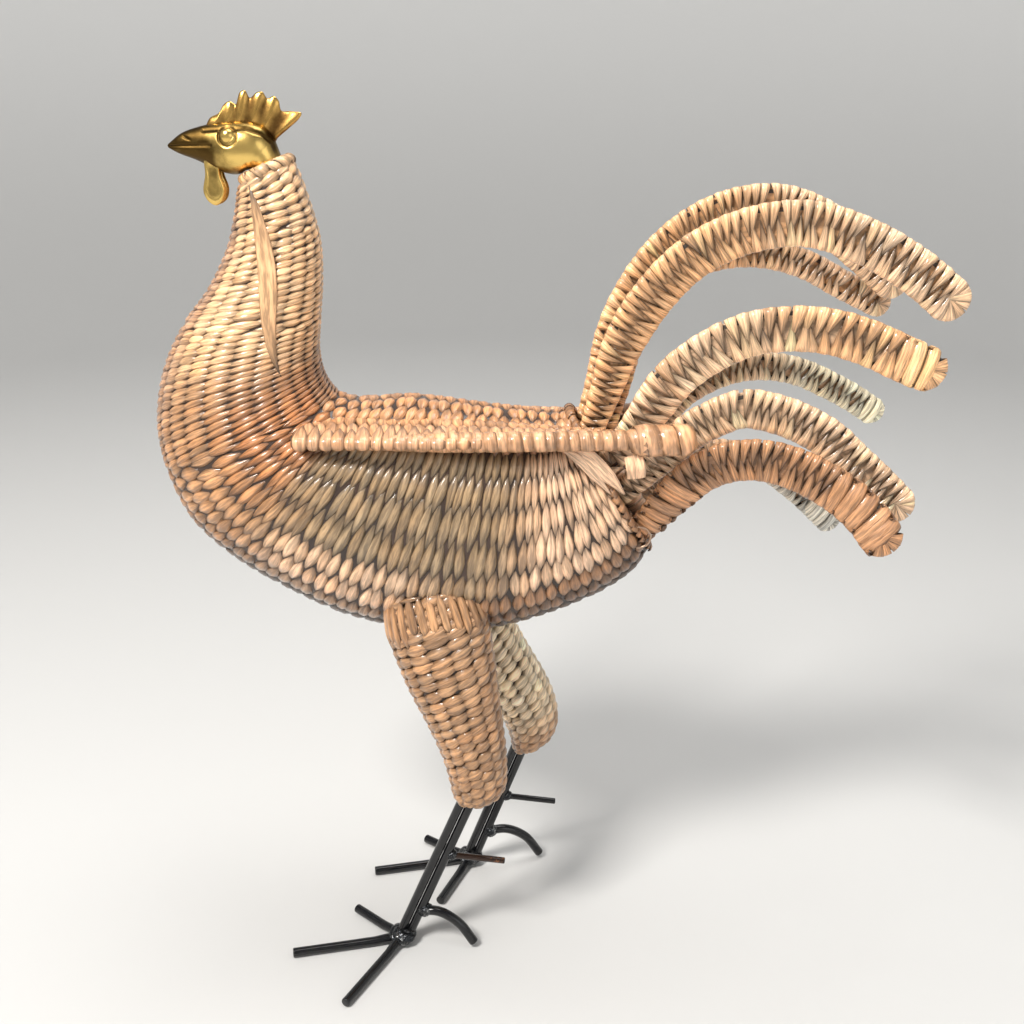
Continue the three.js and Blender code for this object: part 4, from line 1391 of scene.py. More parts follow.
@dataclass(frozen=True)
class Deck(Surface):
    """The upper or lower face of a wing's woven deck, from the back out to the rim."""

    wing: "Wing"
    level: float
    around_step = 0.02
    along_step = 0.004

    def point(self, along: Array, around: Array) -> Array:
        """A ruled face from the root line to the rim, swollen by a sine, then an oval turn."""
        place = np.asarray(around, float)[..., None]
        share = np.asarray(along, float)[..., None]
        turn = np.maximum(place - 1.0, 0.0) * 2 * np.pi
        reach = lerp(self.wing.lip, self.wing.rim, smoothstep(share * 2.5)) + 0.5
        crown = self.wing.crown * np.sin(np.pi * np.clip(place, 0.0, 1.0))
        swell = self.wing.deck / 2 * np.cos(turn) + crown
        return self.middle(along, around) + UP * self.level * swell + ACROSS * reach * np.sin(turn)

    def middle(self, along: Array, around: Array) -> Array:
        """A point of the plane halfway between the two faces."""
        wing = self.wing
        share = np.asarray(along, float)[..., None]
        rim = lerp(wing.corner, wing.tip, share)
        root = np.concatenate([
            lerp(*wing.root_x, share**2), lerp(wing.corner[1], wing.tip[1], share),
            lerp(*wing.root_z, share)], -1)
        root = lerp(root, rim, np.clip(share, 0.0, 1.0) ** 4)
        return lerp(root, rim, np.minimum(np.asarray(around, float), 1.0)[..., None])

    def heart(self, along: Array, around: Array) -> Array:
        """A point on the other side of the face."""
        return self.middle(along, around) - UP * self.level

    def tone(self, along: Array, around: Array) -> Array:
        """Paler towards the rim."""
        return lerp(Tone.BACK.linear, Tone.RIM.linear, np.asarray(around)[..., None])


@dataclass(frozen=True)
class Wing:
    """One wing: a deck that slopes to a straight rim with a folded bundle at its tip."""

    name: str
    side: float
    droop: float
    corner: Array = field(default_factory=lambda: np.array([61.0, -147.0, 425.0]))
    tip: Array = field(default_factory=lambda: np.array([44.0, 127.0, 423.0]))
    root_x: Pair = (20.0, 36.0)
    root_z: Pair = (433.0, 424.0)
    deck: float = 8.0
    crown: float = 1.2
    rim: float = 7.0
    bundle: float = 11.0
    bundle_length: float = 50.0
    lip: float = 3.0
    pitch: float = 7.6
    fringe_strands: int = 15
    fringe_step: float = 0.031

    def placed(self, points: Array) -> Array:
        """Points of the left wing, moved to this one's side and height."""
        moved = points * np.array([self.side, 1.0, 1.0])
        return moved - UP * self.droop

    def edge(self) -> tuple[Array, Array]:
        """The rim's line from the back round the corner to the tip, and its radii."""
        root = np.array([self.root_x[0], self.corner[1], self.root_z[0]])
        start = self.tip + unit(self.corner - self.tip) * self.bundle_length
        front = bent([root, self.corner, start], 12.0)
        straight = lerp(front[-2], start, np.linspace(0.0, 1.0, 40)[1:, None])
        share = np.linspace(0.0, 1.0, 26)[1:]
        ahead = lerp(start, self.tip, share[:, None])
        swollen = lerp(self.rim, self.bundle, smoothstep(share / 0.3))
        past = np.clip(share - 0.8, 0, 1) / 0.215
        rounded = swollen * np.sqrt(np.clip(1.0 - past**2, 0, 1))
        line = np.concatenate([front[:-1], straight, ahead])
        thin = lerp(self.lip, self.rim, smoothstep((lengths_along(line) - 44.0) / 110.0))
        return line, np.append(thin[:-len(ahead)], rounded)

    def carry(self, source: Form, form: Form) -> None:
        """Move a form made for the left wing to this wing's side.

        Args:
            source: The form made for the left wing.
            form: Where it is added, with its faces turned over on the right.
        """
        step = -1 if self.side < 0 else 1
        form.points += [self.placed(points) for points in source.points]
        form.faces += [
            (faces[:, ::step] + form.count, uv[:, ::step]) for faces, uv in source.faces]
        form.tints += source.tints
        form.crests += source.crests
        form.count += source.count

    def weave(self, form: Form, rng: Random) -> None:
        """Lay the strands of both faces of the deck, from the back out.

        Args:
            form: Where they are added.
            rng: Random source.
        """
        plan = Plait(2, turn=0.92, lean=0.14, overlap=0.34, cover=1.3, plump=0.22,
                     strand=Strand(rings=13, roundness=2.1, sink=0.4, rise=0.3))
        for level in (1.0, -1.0):
            face = Deck(self, level)
            face.plait(form, face.paced_rows(0.01, 0.9, 0.8, self.pitch)[::-1], plan, rng)

    def fringe(self, form: Form, rng: Random) -> None:
        """Lay the wide strands that turn over the rim's front half.

        Args:
            form: Where they are added.
            rng: Random source.
        """
        count = self.fringe_strands
        share = 0.012 + np.arange(count) * self.fringe_step
        lean = rng.normal(0.0, 0.005, count)
        inner = np.stack([share + lean, 0.5 + rng.normal(0.0, 0.05, count)], 1)
        outer = np.stack([share, np.full(count, 1.74)], 1)
        Strand(rings=30, sides=9, taper=0.85, roundness=1.5, rise=1.7).lay(
            form, Deck(self, 1.0), inner, outer, rng.normal(10.0, 0.8, count),
            np.full(count, 1.7), varied(Tone.RIM.linear, count, rng), rng)

    def winding(self, form: Form, line: Array, radii: Array, rng: Random) -> None:
        """Wind the rim: fine round the front corner, wider along the side, widest at the tip.

        Args:
            form: Where the strips are added.
            line: The rim's centre line.
            radii: Its radii.
            rng: Random source.
        """
        run = lengths_along(line)
        split = run[-1] - self.bundle_length
        for low, high, pitch, lean in ((0.0, 0.3 * split, 7.5, 1.2),
                                       (0.29 * split, split + 4.0, 8.0, 0.5),
                                       (split, run[-1] + 1.0, 13.0, 1.1)):
            part = (run >= low) & (run < high)
            Roll(line[part], UP, radii[part]).wrap(
                form, Wrap(pitch=pitch, lean=lean), Tone.RIM.linear, rng)

    def core(self, form: Form, line: Array, radii: Array) -> None:
        """Add the dark bar inside the rim and the dark sheet between the deck's faces.

        Args:
            form: Where they are added.
            line: The rim's centre line.
            radii: Its radii.
        """
        # Both the bar and the sheet are dark as painted shade, seen through the gaps between
        # strands.
        Roll(line, UP, radii).solid(form, 1.6, Tone.DARK.linear)
        shares = np.linspace(0.0, 0.9, 40)
        places = np.linspace(0.0, 0.99, 8)
        upper = Deck(self, 1.0).wall(shares, places, 2.0)
        lower = Deck(self, -1.0).wall(shares, places[::-1], 2.0)
        form.tubes(np.concatenate([upper, lower], 1)[None], Tone.DARK.linear, 0.5)

    def build(self, rng: Random) -> None:
        """Make the deck's strands, the wound rim and the dark core.

        Args:
            rng: Random source.
        """
        node = f"{self.name}_wing_weave"
        line, radii = self.edge()
        strands = Form()
        self.weave(strands, rng)
        self.fringe(strands, rng)
        self.winding(strands, line, radii, rng)
        core = Form()
        self.core(core, line, radii)
        for made, part, finish in ((strands, "strands", Finish.WEAVE), (core, "core", Finish.CORE)):
            form = Form()
            self.carry(made, form)
            form.piece(f"{node}_{part}", finish, Slot.RUSH, node)


@dataclass(frozen=True)
class Feather:
    """A tail feather: seat on the bar, tip's x, bow, widths, path and how it is wrapped.

    A sleeve is a row: where it begins and finishes, its pitch and its lean.
    """

    name: str
    seat: float
    tip_x: float
    bow: float
    root: float
    full: float
    path: tuple
    pitch: float
    tone: Tone
    tip_tone: Tone
    sleeves: tuple = ()
    thick: float = 5.2
    flare: float = 0.3
    bar_x: float = 14.5
    seat_station: float = 16.9
    seat_inset: float = 8.6
    seat_x: float = 10.0
    seat_end: float = 5.9
    bare_root: float = 12.0

    def plan(self, body: Body) -> "FeatherPlan":
        """Measure the feather's centre line from its seat on the tail bar to its tip.

        Args:
            body: The body, whose tail opening the bar crosses.

        Returns:
            The line with its half widths.
        """
        station = np.array(self.seat_station)
        centre, to_back, half_length, half_width = body.frame_at(station)
        room = float(half_length - self.seat_inset)
        aside = self.seat_x / float(half_width - self.seat_inset)
        room *= (1 - aside**body.power) ** (1 / body.power)
        seat = centre + to_back * (room - self.seat_end) * (1 - 2 * self.seat)
        flat = Curve(np.array([seat[1:], *self.path], float))
        length = flat.length()
        half = self.full / 2
        tip_centre = length - half
        distance = np.linspace(0.0, tip_centre, 260)
        share = distance / length
        points = flat.paced(share)
        root_x = math.copysign(self.bar_x, self.tip_x)
        x = lerp(root_x, self.tip_x, share**self.bow)
        line = np.concatenate([x[:, None], points], 1)
        halves = lerp(self.root / 2, half, smoothstep(distance / (self.flare * length)))
        return FeatherPlan(distance, line, halves, half, self.thick)

    def strips(self, form: Form, plan: "FeatherPlan", side: float, rng: Random) -> None:
        """Fold a row of strips round one edge rod, leaving out those that a sleeve covers.

        Args:
            form: The form that takes the strips.
            plan: The feather's centre line and widths.
            side: 1 or -1, for the edge.
            rng: Random source.
        """
        end = plan.tip + plan.full * math.pi / 2
        run = end - self.bare_root
        count = int(run / self.pitch)
        edge = self.bare_root + (np.arange(count) + 0.25 * (1 + side)) * run / count
        edge = edge + rng.normal(0.0, 0.09, count) * self.pitch
        slant = rng.normal(0.35, 0.28, count) * self.pitch
        slant = slant * np.clip((plan.tip - edge) / 20.0, 0.0, 1.0)
        reach = rng.normal(0.0, 0.025, (2, count))
        start = np.stack([edge - slant, 0.02 + reach[0]], 1)
        stop = np.stack([edge - slant, 0.98 + reach[1]], 1)
        width = self.pitch * rng.normal(1.42, 0.09, count)
        share = smoothstep((edge / plan.tip - 0.45) / 0.4)[:, None]
        tint = varied(lerp(self.tone.linear, self.tip_tone.linear, share), count, rng)
        lift = 0.25 * (np.arange(count) % 2)
        bare = np.ones(count, bool)
        for begin, finish, _, _ in self.sleeves:
            first, last = plan.reach(begin, finish)
            bare &= (edge < first + 3.0) | (edge > last - 3.0)
        Strand(rings=27, sides=6, taper=0.85, roundness=1.5, sink=0.3, rise=-0.3).lay(
            form, FeatherSide(plan, side), start[bare], stop[bare], width[bare],
            np.full(bare.sum(), 0.9), tint[bare], rng, bow=slant[bare], lift=lift[bare])

    def wind(self, form: Form, plan: "FeatherPlan", rng: Random) -> None:
        """Wind the sleeves of wide strips.

        Args:
            form: Where they are added.
            plan: The feather's centre line and widths.
            rng: Random source.
        """
        wide = Strand(rings=48, sides=9, taper=0.3, rise=0.3, belly=0.6)
        for begin, finish, pitch, lean in self.sleeves:
            wrap = Wrap(pitch=pitch, lean=lean, turn=(-176.0, 184.0), cover=1.1, height=2.3,
                        step_up=0.2, strand=wide)
            plan.sleeve(begin, finish).wrap(form, wrap, self.tip_tone.linear, rng)

    def core(self, form: Form, plan: "FeatherPlan") -> None:
        """Add the flat bar that shows between the strips.

        Args:
            form: Where it is added.
            plan: The feather's centre line and widths.
        """
        line = np.vstack([plan.line, plan.line[-1] + plan.travel[-1] * (plan.full - 4.0)])
        halves = np.append(plan.halves - 2.5, 2.0)
        first = np.vstack([plan.first, plan.first[-1]])
        second = np.vstack([plan.second, plan.second[-1]])
        angle = np.arange(16) * 2 * np.pi / 16
        keep = slice(8, None, 4)
        rings = (line[keep, None] + first[keep, None] * (1.7 * np.sin(angle))[..., None]
                 + second[keep, None] * (halves[keep, None] * np.cos(angle))[..., None])
        # The tint, part way to dark, is painted shade seen between the strips.
        form.tubes(rings[None], lerp(Tone.DARK.linear, self.tone.linear, 0.6), 0.9)

    def build(self, body: Body, rng: Random) -> None:
        """Make both rows of folded strips, the sleeves and the core between them.

        Args:
            body: The body that it grows from.
            rng: Random source.
        """
        node = f"{self.name}_feather_weave"
        plan = self.plan(body)
        form = Form()
        for side in (1.0, -1.0):
            self.strips(form, plan, side, rng)
        self.wind(form, plan, rng)
        form.piece(f"{node}_strips", Finish.LEAF, Slot.RUSH, node)
        core = Form()
        self.core(core, plan)
        core.piece(f"{node}_core", Finish.CORE, Slot.RUSH, node)


@dataclass(frozen=True)
class FeatherPlan:
    """A feather's centre line by distance, its half widths and its thickness."""

    distance: Array
    line: Array
    halves: Array
    full: float
    thick: float

    @property
    def tip(self) -> float:
        """Distance of the rounded tip's centre."""
        return float(self.distance[-1])

    def sleeve(self, begin: float, finish: float) -> "Roll":
        """The flattened roll that a sleeve of wide strips follows.

        Args:
            begin: Distance of its start from the root, or from the tip where negative.
            finish: Distance of its end from the tip's end.

        Returns:
            The roll, whose radius falls to nothing round the tip.
        """
        ahead = np.linspace(0.06, 0.98, 14)[:, None] * self.full
        line = np.vstack([self.line, self.line[-1] + self.travel[-1] * ahead])
        halves = np.append(self.halves, self.full * np.sqrt(1 - np.linspace(0.06, 0.98, 14) ** 2))
        run = lengths_along(line)
        first, last = self.reach(begin, finish)
        kept = (run >= first) & (run <= last)
        return Roll(line[kept], ACROSS, halves[kept] - 0.5, 1.15 * self.thick / self.full)

    def reach(self, begin: float, finish: float) -> Pair:
        """Distances from the root between which a sleeve lies; see sleeve for its arguments."""
        end = self.tip + 0.98 * self.full
        return begin if begin >= 0 else end + begin, end - finish

    @property
    def travel(self) -> Array:
        """Unit directions along the line."""
        return unit(np.gradient(self.line, axis=0))

    @property
    def first(self) -> Array:
        """Directions through the feather's thickness."""
        travel = self.travel
        return unit(ACROSS - travel * (travel @ ACROSS)[:, None])

    @property
    def second(self) -> Array:
        """Directions across the feather's width."""
        return np.cross(self.travel, self.first)


@dataclass(frozen=True)
class FeatherSide(Surface):
    """One half of a feather: a roll round its edge rod that thins to the middle line.

    Around runs from 0 at the middle of the near face, over the edge at 0.5, to 1 at the back.
    """

    plan: FeatherPlan
    side: float
    over: float = 0.6
    along_step = 0.5
    around_step = 0.02

    def parts(self, along: Array) -> tuple[Array, Array, Array, Array]:
        """Find the feather's section; past the tip's centre the width direction turns round it.

        Args:
            along: Distances along the edge.

        Returns:
            Centre, direction of the thickness, direction of the width and half width.
        """
        plan = self.plan
        kept = np.minimum(along, plan.tip)
        centre, first, second, travel = (
            np.stack([np.interp(kept, plan.distance, table[:, axis]) for axis in range(3)], -1)
            for table in (plan.line, plan.first, plan.second, plan.travel)
        )
        half = np.interp(kept, plan.distance, plan.halves)
        turn = np.clip((along - plan.tip) / plan.full, 0.0, math.pi / 2)[..., None]
        out = self.side * second * np.cos(turn) + travel * np.sin(turn)
        return centre, first, out, half

    def point(self, along: Array, around: Array) -> Array:
        """A section round the edge rod: the width goes out and back as a sine, and the thickness
        falls as a cosine while it grows from a thin middle with the sine."""
        centre, first, out, half = self.parts(along)
        angle = np.pi * np.asarray(around)
        share = np.sin(angle)
        width = half * (share - self.over * (1 - share))
        thick = self.plan.thick * np.cos(angle) * (0.6 + 1.1 * share)
        return centre + out * width[..., None] + first * thick[..., None]

    def heart(self, along: Array, around: Array) -> Array:
        """A point inside the roll round the edge rod."""
        centre, _, out, half = self.parts(along)
        share = np.sin(np.pi * np.asarray(around))
        inner = half * (0.92 * share - self.over * (1 - share)) - 0.2
        return centre + out * inner[..., None]


@dataclass(frozen=True)
class Head:
    """Brass head. A row: upper y, upper z, lower y, lower z, half width, from the beak back.

    The collar's numbers are its half length, half width and depth. Pairs are places in y and z.
    """

    body: Body
    stations: tuple = (
        (-231.5, 617, -231.5, 615, 1), (-222, 624, -224, 611, 4.5),
        (-211, 628, -212, 606.5, 7.5), (-202, 630, -203, 602, 10),
        (-190, 631.5, -195.5, 599, 13), (-177, 632, -188.5, 597.5, 14.5),
        (-166, 628.5, -184, 598, 14.5), (-159, 619.5, -180.5, 600, 13.5),
    )
    collar: Triple = (10.5, 11.5, 12.0)
    sides: int = 112
    mouth_z: float = 615.4
    mouth_back: float = -198.0
    nostril: Pair = (-217.5, 621.5)
    seam: tuple = ((-206, 627.0), (-190, 628.0), (-176, 628.0), (-166, 624.5), (-158, 617.0))
    # Centre of the painted highlight on the cheek.
    cheek_highlight: Pair = (-171.0, 612.0)
    comb_top: tuple = (
        (-204.5, 629.5), (-201.5, 634), (-195.5, 637), (-191.5, 642.5), (-187.5, 644.4),
        (-183.5, 642.6), (-180.5, 650), (-177, 651.2), (-174, 646.6), (-169.5, 649.8),
        (-165.5, 650.3), (-162.5, 646.2), (-158, 647.6), (-155, 644.6), (-153.6, 638.5),
        (-147, 638.1), (-140.3, 636.8), (-144, 631.5), (-153, 627), (-158.5, 619),
    )
    comb_base: tuple = (
        (-205, 626), (-198, 626.5), (-190, 627), (-182, 627.5), (-174, 627.5), (-168, 626),
        (-163, 622.5), (-160.5, 619.5), (-160, 617),
    )
    comb_peaks: tuple = (2.0, 4.3, 6.8, 9.6, 12.5, 16.0)
    comb_half: float = 3.4
    wattle: tuple = (
        (-206, 612), (-207, 597.5), (-209, 586.5), (-206, 580), (-201, 577.5),
        (-195.5, 581), (-193.5, 588), (-196, 597.5), (-198, 612),
    )
    wattle_middle: Pair = (-201.5, 590.0)
    wattle_half: float = 2.2
    wattle_x: float = 4.6
    eye: Pair = (-188.5, 622.5)
    eye_profile: tuple = (
        (8.6, 0.1), (8.8, 5.0), (10.4, 5.3), (11.8, 4.9), (12.9, 4.0), (13.7, 2.9),
        (14.3, 1.5), (14.5, 0.05),
    )
    socket: float = 6.1

    def sections(self) -> tuple[Array, Array, Array, Array]:
        """Centres, upward directions, half heights and half widths, from the beak to the collar."""
        rows = np.linspace(0.0, len(self.stations) - 1, 180)
        table = Curve(np.array(self.stations, float)).at(rows)
        nought = np.zeros(len(rows))
        top = np.stack([nought, table[:, 0], table[:, 1]], 1)
        low = np.stack([nought, table[:, 2], table[:, 3]], 1)
        neck, to_back, _, _ = self.body.frame_at(np.array(0.0))
        axis = -np.cross(ACROSS, to_back)
        axis = axis if axis[2] < 0 else -axis
        count = 12
        collar_half_length, collar_half_width, depth = self.collar
        depths = np.linspace(0.0, depth, count)[:, None]
        centre = np.vstack([(top + low) / 2, neck + axis * depths])
        to_top = np.vstack([unit(top - low), np.broadcast_to(to_back, (count, 3))])
        tall = np.linalg.norm(top - low, axis=1) / 2
        tall = np.append(tall, np.full(count, collar_half_length))
        wide = np.append(table[:, 4], np.full(count, collar_half_width))
        tall[0], wide[0] = 0.25, 0.25
        return centre, to_top, tall, wide

    def grooves(self, y: Array, z: Array, flank: Array) -> tuple[Array, Array, Array, Array]:
        """How strongly the mouth, the nostril, the eye socket and the comb's seam mark a place.

        Args:
            y: Places along the bird.
            z: Heights.
            flank: 0 on the lines of the top and bottom, 1 at the sides.

        Returns:
            Four strengths, from 0 to 1.
        """
        lip = self.mouth_z + 0.05 * (y - self.stations[0][0])
        mouth = bump(z, lip, 1.0) * smoothstep((self.mouth_back - y) / 3.0)
        mouth = mouth * smoothstep(flank * 3)
        ahead, above = y - self.nostril[0], z - self.nostril[1]
        nostril = bump(ahead * 0.45 + above, 0.0, 0.8) * bump(y, self.nostril[0], 2.6)
        nostril = nostril * smoothstep(flank * 2)
        spread = np.hypot(y - self.eye[0], z - self.eye[1])
        socket = bump(spread, self.socket, 0.8) * smoothstep(flank * 2)
        seam_z = np.interp(y, *np.array(self.seam).T)
        seam = bump(z, seam_z - 0.6, 1.3) * smoothstep((y + 208) / 3.0) * smoothstep((-157 - y) / 3)
        return mouth, nostril, socket, seam

    def polish_and_highlight(self, y: Array, z: Array) -> Array:
        """How bright the brass is: a painted highlight on the cheek; least on the nape, beak and
        jaw, partly patina and partly painted shade.

        Args:
            y: Places along the bird.
            z: Heights.

        Returns:
            The crest value that the finish reads.
        """
        # A painted highlight on the cheek, and darker nape, beak and jaw as patina and painted
        # shade.
        cheek_highlight = np.exp(-(((y - self.cheek_highlight[0]) / 17.0) ** 2) - ((z - self.cheek_highlight[1]) / 10.0) ** 2)
        nape = smoothstep((y + 167.0) / 6.0)
        beak = smoothstep((-197.0 - y) / 7.0)
        jaw = beak * smoothstep((614.0 - z) / 5.0)
        return 0.42 + 0.6 * cheek_highlight - 0.35 * nape - 0.2 * beak - 0.22 * jaw

    def shell(self) -> None:
        """Make the head: an oval section carried from the beak to the collar, with grooves."""
        centre, to_top, tall, wide = self.sections()
        angle = np.arange(self.sides) * 2 * np.pi / self.sides
        rings = (centre[:, None] + to_top[:, None] * (tall[:, None] * np.cos(angle))[..., None]
                 + ACROSS * (wide[:, None] * np.sin(angle))[..., None])
        y, z = rings[..., 1], rings[..., 2]
        mouth, nostril, socket, seam = self.grooves(y, z, np.abs(np.sin(angle))[None, :])
        outward = unit(rings - centre[:, None])
        sunk = 1.3 * mouth + 0.9 * nostril + 1.0 * socket + 0.8 * seam
        crest = self.polish_and_highlight(y, z) - 0.4 * mouth - 0.3 * nostril - 0.35 * socket - 0.6 * seam
        low_shade = smoothstep((604.0 - z) / 6.0) * 0.25
        form = Form()
        form.tubes((rings - outward * sunk[..., None])[None], Tone.DARK.linear,
                   np.clip(crest - low_shade, 0.0, 1.0)[None])
        form.piece("brass_head_shell", Finish.HEAD, Slot.BRASS, "head_shell")

    def comb(self) -> None:
        """Make the comb: ribs from base to edge, thick on each lobe and thin between them."""
        count = len(self.comb_top)
        place = np.linspace(0.0, count - 1, 190)
        top = Curve(np.array(self.comb_top, float)).at(place)
        base = Curve(np.array(self.comb_base, float))
        low = base.at(place / (count - 1) * (len(self.comb_base) - 1))
        ridge = sum(bump(place, peak, 0.8) for peak in self.comb_peaks)
        half = self.comb_half * (0.66 + 0.34 * np.clip(ridge, 0.0, 1.0))
        half = half * np.clip(np.linalg.norm(top - low, axis=1) / 6.0, 0.15, 1.0)
        angle = np.linspace(0.0, 2 * np.pi, 41)[:-1]
        share = (1 - np.cos(angle)) / 2
        plane = lerp(low[:, None], top[:, None], share[None, :, None])
        x = half[:, None] * np.sin(angle) * (1.15 - 0.45 * share)
        rings = np.concatenate([x[..., None], plane], -1)
        crest = 0.5 + 0.45 * np.clip(ridge, 0, 1)[:, None] * (0.4 + 0.6 * share)
        form = Form()
        form.tubes(rings[None], Tone.DARK.linear, crest[None])
        form.piece("brass_comb", Finish.COMB, Slot.BRASS, "comb")

    def hang_wattle(self, name: str, side: float) -> None:
        """Make one wattle, a dished drop with a raised rim.

        Args:
            name: The side's name.
            side: 1 on the left, -1 on the right.
        """
        outline = np.array(self.wattle, float)
        padded = np.vstack([outline[-2:], outline, outline[:3]])
        ring = Curve(padded).at(np.linspace(2.0, 2.0 + len(outline), 81)[:-1])
        middle = np.array(self.wattle_middle)
        turn = np.linspace(0.02, np.pi - 0.02, 46)
        share = np.sin(turn)
        rim = 0.55 + 0.45 * np.exp(-(((share - 0.76) / 0.17) ** 2))
        dish = np.sqrt(np.clip(1 - share**4, 0, 1)) * rim
        depth = self.wattle_half * np.sign(np.cos(turn)) * dish
        plane = middle + (ring - middle)[None] * share[:, None, None]
        x = np.broadcast_to((depth + self.wattle_x)[:, None, None] * side, (*plane.shape[:2], 1))
        rings = np.concatenate([x, plane], -1)
        crest = np.broadcast_to((0.46 + 0.6 * (rim - 0.55) / 0.45)[:, None], rings.shape[:2])
        form = Form()
        form.tubes(rings[None], Tone.DARK.linear, crest[None])
        form.piece(f"brass_{name}_wattle", Finish.HEAD, Slot.BRASS, f"{name}_wattle")

    def set_eye(self, name: str, side: float) -> None:
        """Make one eye, a bead in a ring, from a profile turned about its axis.

        Args:
            name: The side's name.
            side: 1 on the left, -1 on the right.
        """
        table = Curve(np.array(self.eye_profile))
        profile = table.at(np.linspace(0.0, len(self.eye_profile) - 1, 60))
        angle = np.arange(48) * 2 * np.pi / 48
        shape = len(profile), len(angle)
        rings = np.stack([
            np.broadcast_to(profile[:, :1] * side, shape),
            self.eye[0] + profile[:, 1:] * np.cos(angle),
            self.eye[1] + profile[:, 1:] * np.sin(angle),
        ], -1)
        groove = 0.3 + 0.5 * smoothstep((5.2 - profile[:, 1]) / 2.6)
        form = Form()
        form.tubes(rings[None], Tone.DARK.linear, np.broadcast_to(groove[:, None], shape)[None])
        form.piece(f"brass_{name}_eye", Finish.HEAD, Slot.BRASS, f"{name}_eye")

    def build(self) -> None:
        """Make every brass piece."""
        self.shell()
        self.comb()
        for name, side in (("left", 1.0), ("right", -1.0)):
            self.hang_wattle(name, side)
            self.set_eye(name, side)


@dataclass(frozen=True)
class TailRoot:
    """The rush bound round the feather roots: a wound core, folded leaves and a wire loop.

    A leaf is a row: the points of its middle line and its half widths along it.
    """

    body: Body
    leaves: tuple = (
        (((44, 38, 418), (46, 54, 411), (44, 68, 396), (38, 80, 381)), (1.5, 5.2, 5.0, 0.8)),
        (((44, 34, 417), (46, 46, 410), (45, 58, 397), (41, 70, 382)), (1.0, 3.8, 3.4, 0.5)),
        (((47, 84, 413), (50, 86, 405), (46, 87, 396)), (6.5, 7.0, 6.5)),
    )
    leaf_flat: float = 0.16
    station: float = 18.0
    ends: Pair = (0.17, 0.85)
    radius: float = 7.6
    out: float = 5.0
    steps: int = 30
    wire_place: Triple = (32.0, 92.0, 346.0)
    wire_radius: float = 8.5
    wire_rod: float = 1.6

    def binding(self, rng: Random) -> None:
        """Wind the core that stands in the tail opening.

        Args:
            rng: Random source.
        """
        centre, to_back, half_length, _ = self.body.frame_at(np.array(self.station))
        out = np.cross(to_back, ACROSS)
        out = out if out[1] > 0 else -out
        top, bottom = (
            centre + to_back * float(half_length) * (1 - 2 * share) for share in self.ends)
        line = lerp(top, bottom, np.linspace(0.0, 1.0, self.steps)[:, None]) + out * self.out
        roll = Roll(line, ACROSS, np.full(self.steps, self.radius))
        form = Form()
        roll.wrap(form, Wrap(pitch=8.0, lean=0.6), Tone.PEACH.linear, rng)
        # The dark bar under the strips is painted shade, seen through their gaps.
        roll.solid(form, 1.6, Tone.DARK.linear)
        form.piece("tail_binding_strips", Finish.LEAF, Slot.PALE_RUSH, "tail_binding")

    def folds(self, rng: Random) -> None:
        """Fold the leaves over the body's rim and the binding.

        Args:
            rng: Random source.
        """
        form = Form()
        for points, widths in self.leaves:
            stops = np.linspace(0.0, len(points) - 1, self.steps)
            share = np.linspace(0.0, len(widths) - 1, self.steps)
            radii = np.interp(share, np.arange(len(widths)), widths)
            tone = varied(Tone.PEACH.linear, 1, rng)[0]
            line = Curve(np.array(points, float)).at(stops)
            Roll(line, ACROSS, radii, self.leaf_flat).solid(form, 0.0, tone, sides=20)
        form.piece("tail_leaf_folds", Finish.LEAF, Slot.PALE_RUSH)

    def wire(self) -> None:
        """Bend the wire loop."""
        form = Form()
        angle = np.radians(np.linspace(-100.0, 130.0, 40))
        middle = np.array(self.wire_place)
        loop = middle + self.wire_radius * np.stack(
            [0.15 * np.sin(angle), np.cos(angle), np.sin(angle)], 1)
        Roll(loop, ACROSS, np.full(len(angle), self.wire_rod / 2)).solid(
            form, 0.0, Tone.DARK.linear, edge=0.3)
        form.piece("tail_wire_loop", Finish.COPPER, Slot.PALE_RUSH)

    def build(self, rng: Random) -> None:
        """Make the binding between the two rows of feathers, the leaves and the wire.

        Args:
            rng: Random source.
        """
        self.binding(rng)
        self.folds(rng)
        self.wire()


@dataclass(frozen=True)
class Lamp:
    """A square area lamp that faces the middle of the object."""

    name: str
    place: Triple
    size: float
    power: float
    colour: Triple
    aim: Triple = (0.0, 0.0, 0.33)

    def build(self) -> None:
        """Add the lamp to the scene."""
        light = bpy.data.lights.new(self.name, "AREA")
        light.size = self.size
        light.energy = self.power
        light.color = self.colour
        made = bpy.data.objects.new(self.name, light)
        made.location = self.place
        facing = Vector(self.aim) - made.location
        made.rotation_euler = facing.to_track_quat("-Z", "Y").to_euler()
        bpy.context.collection.objects.link(made)


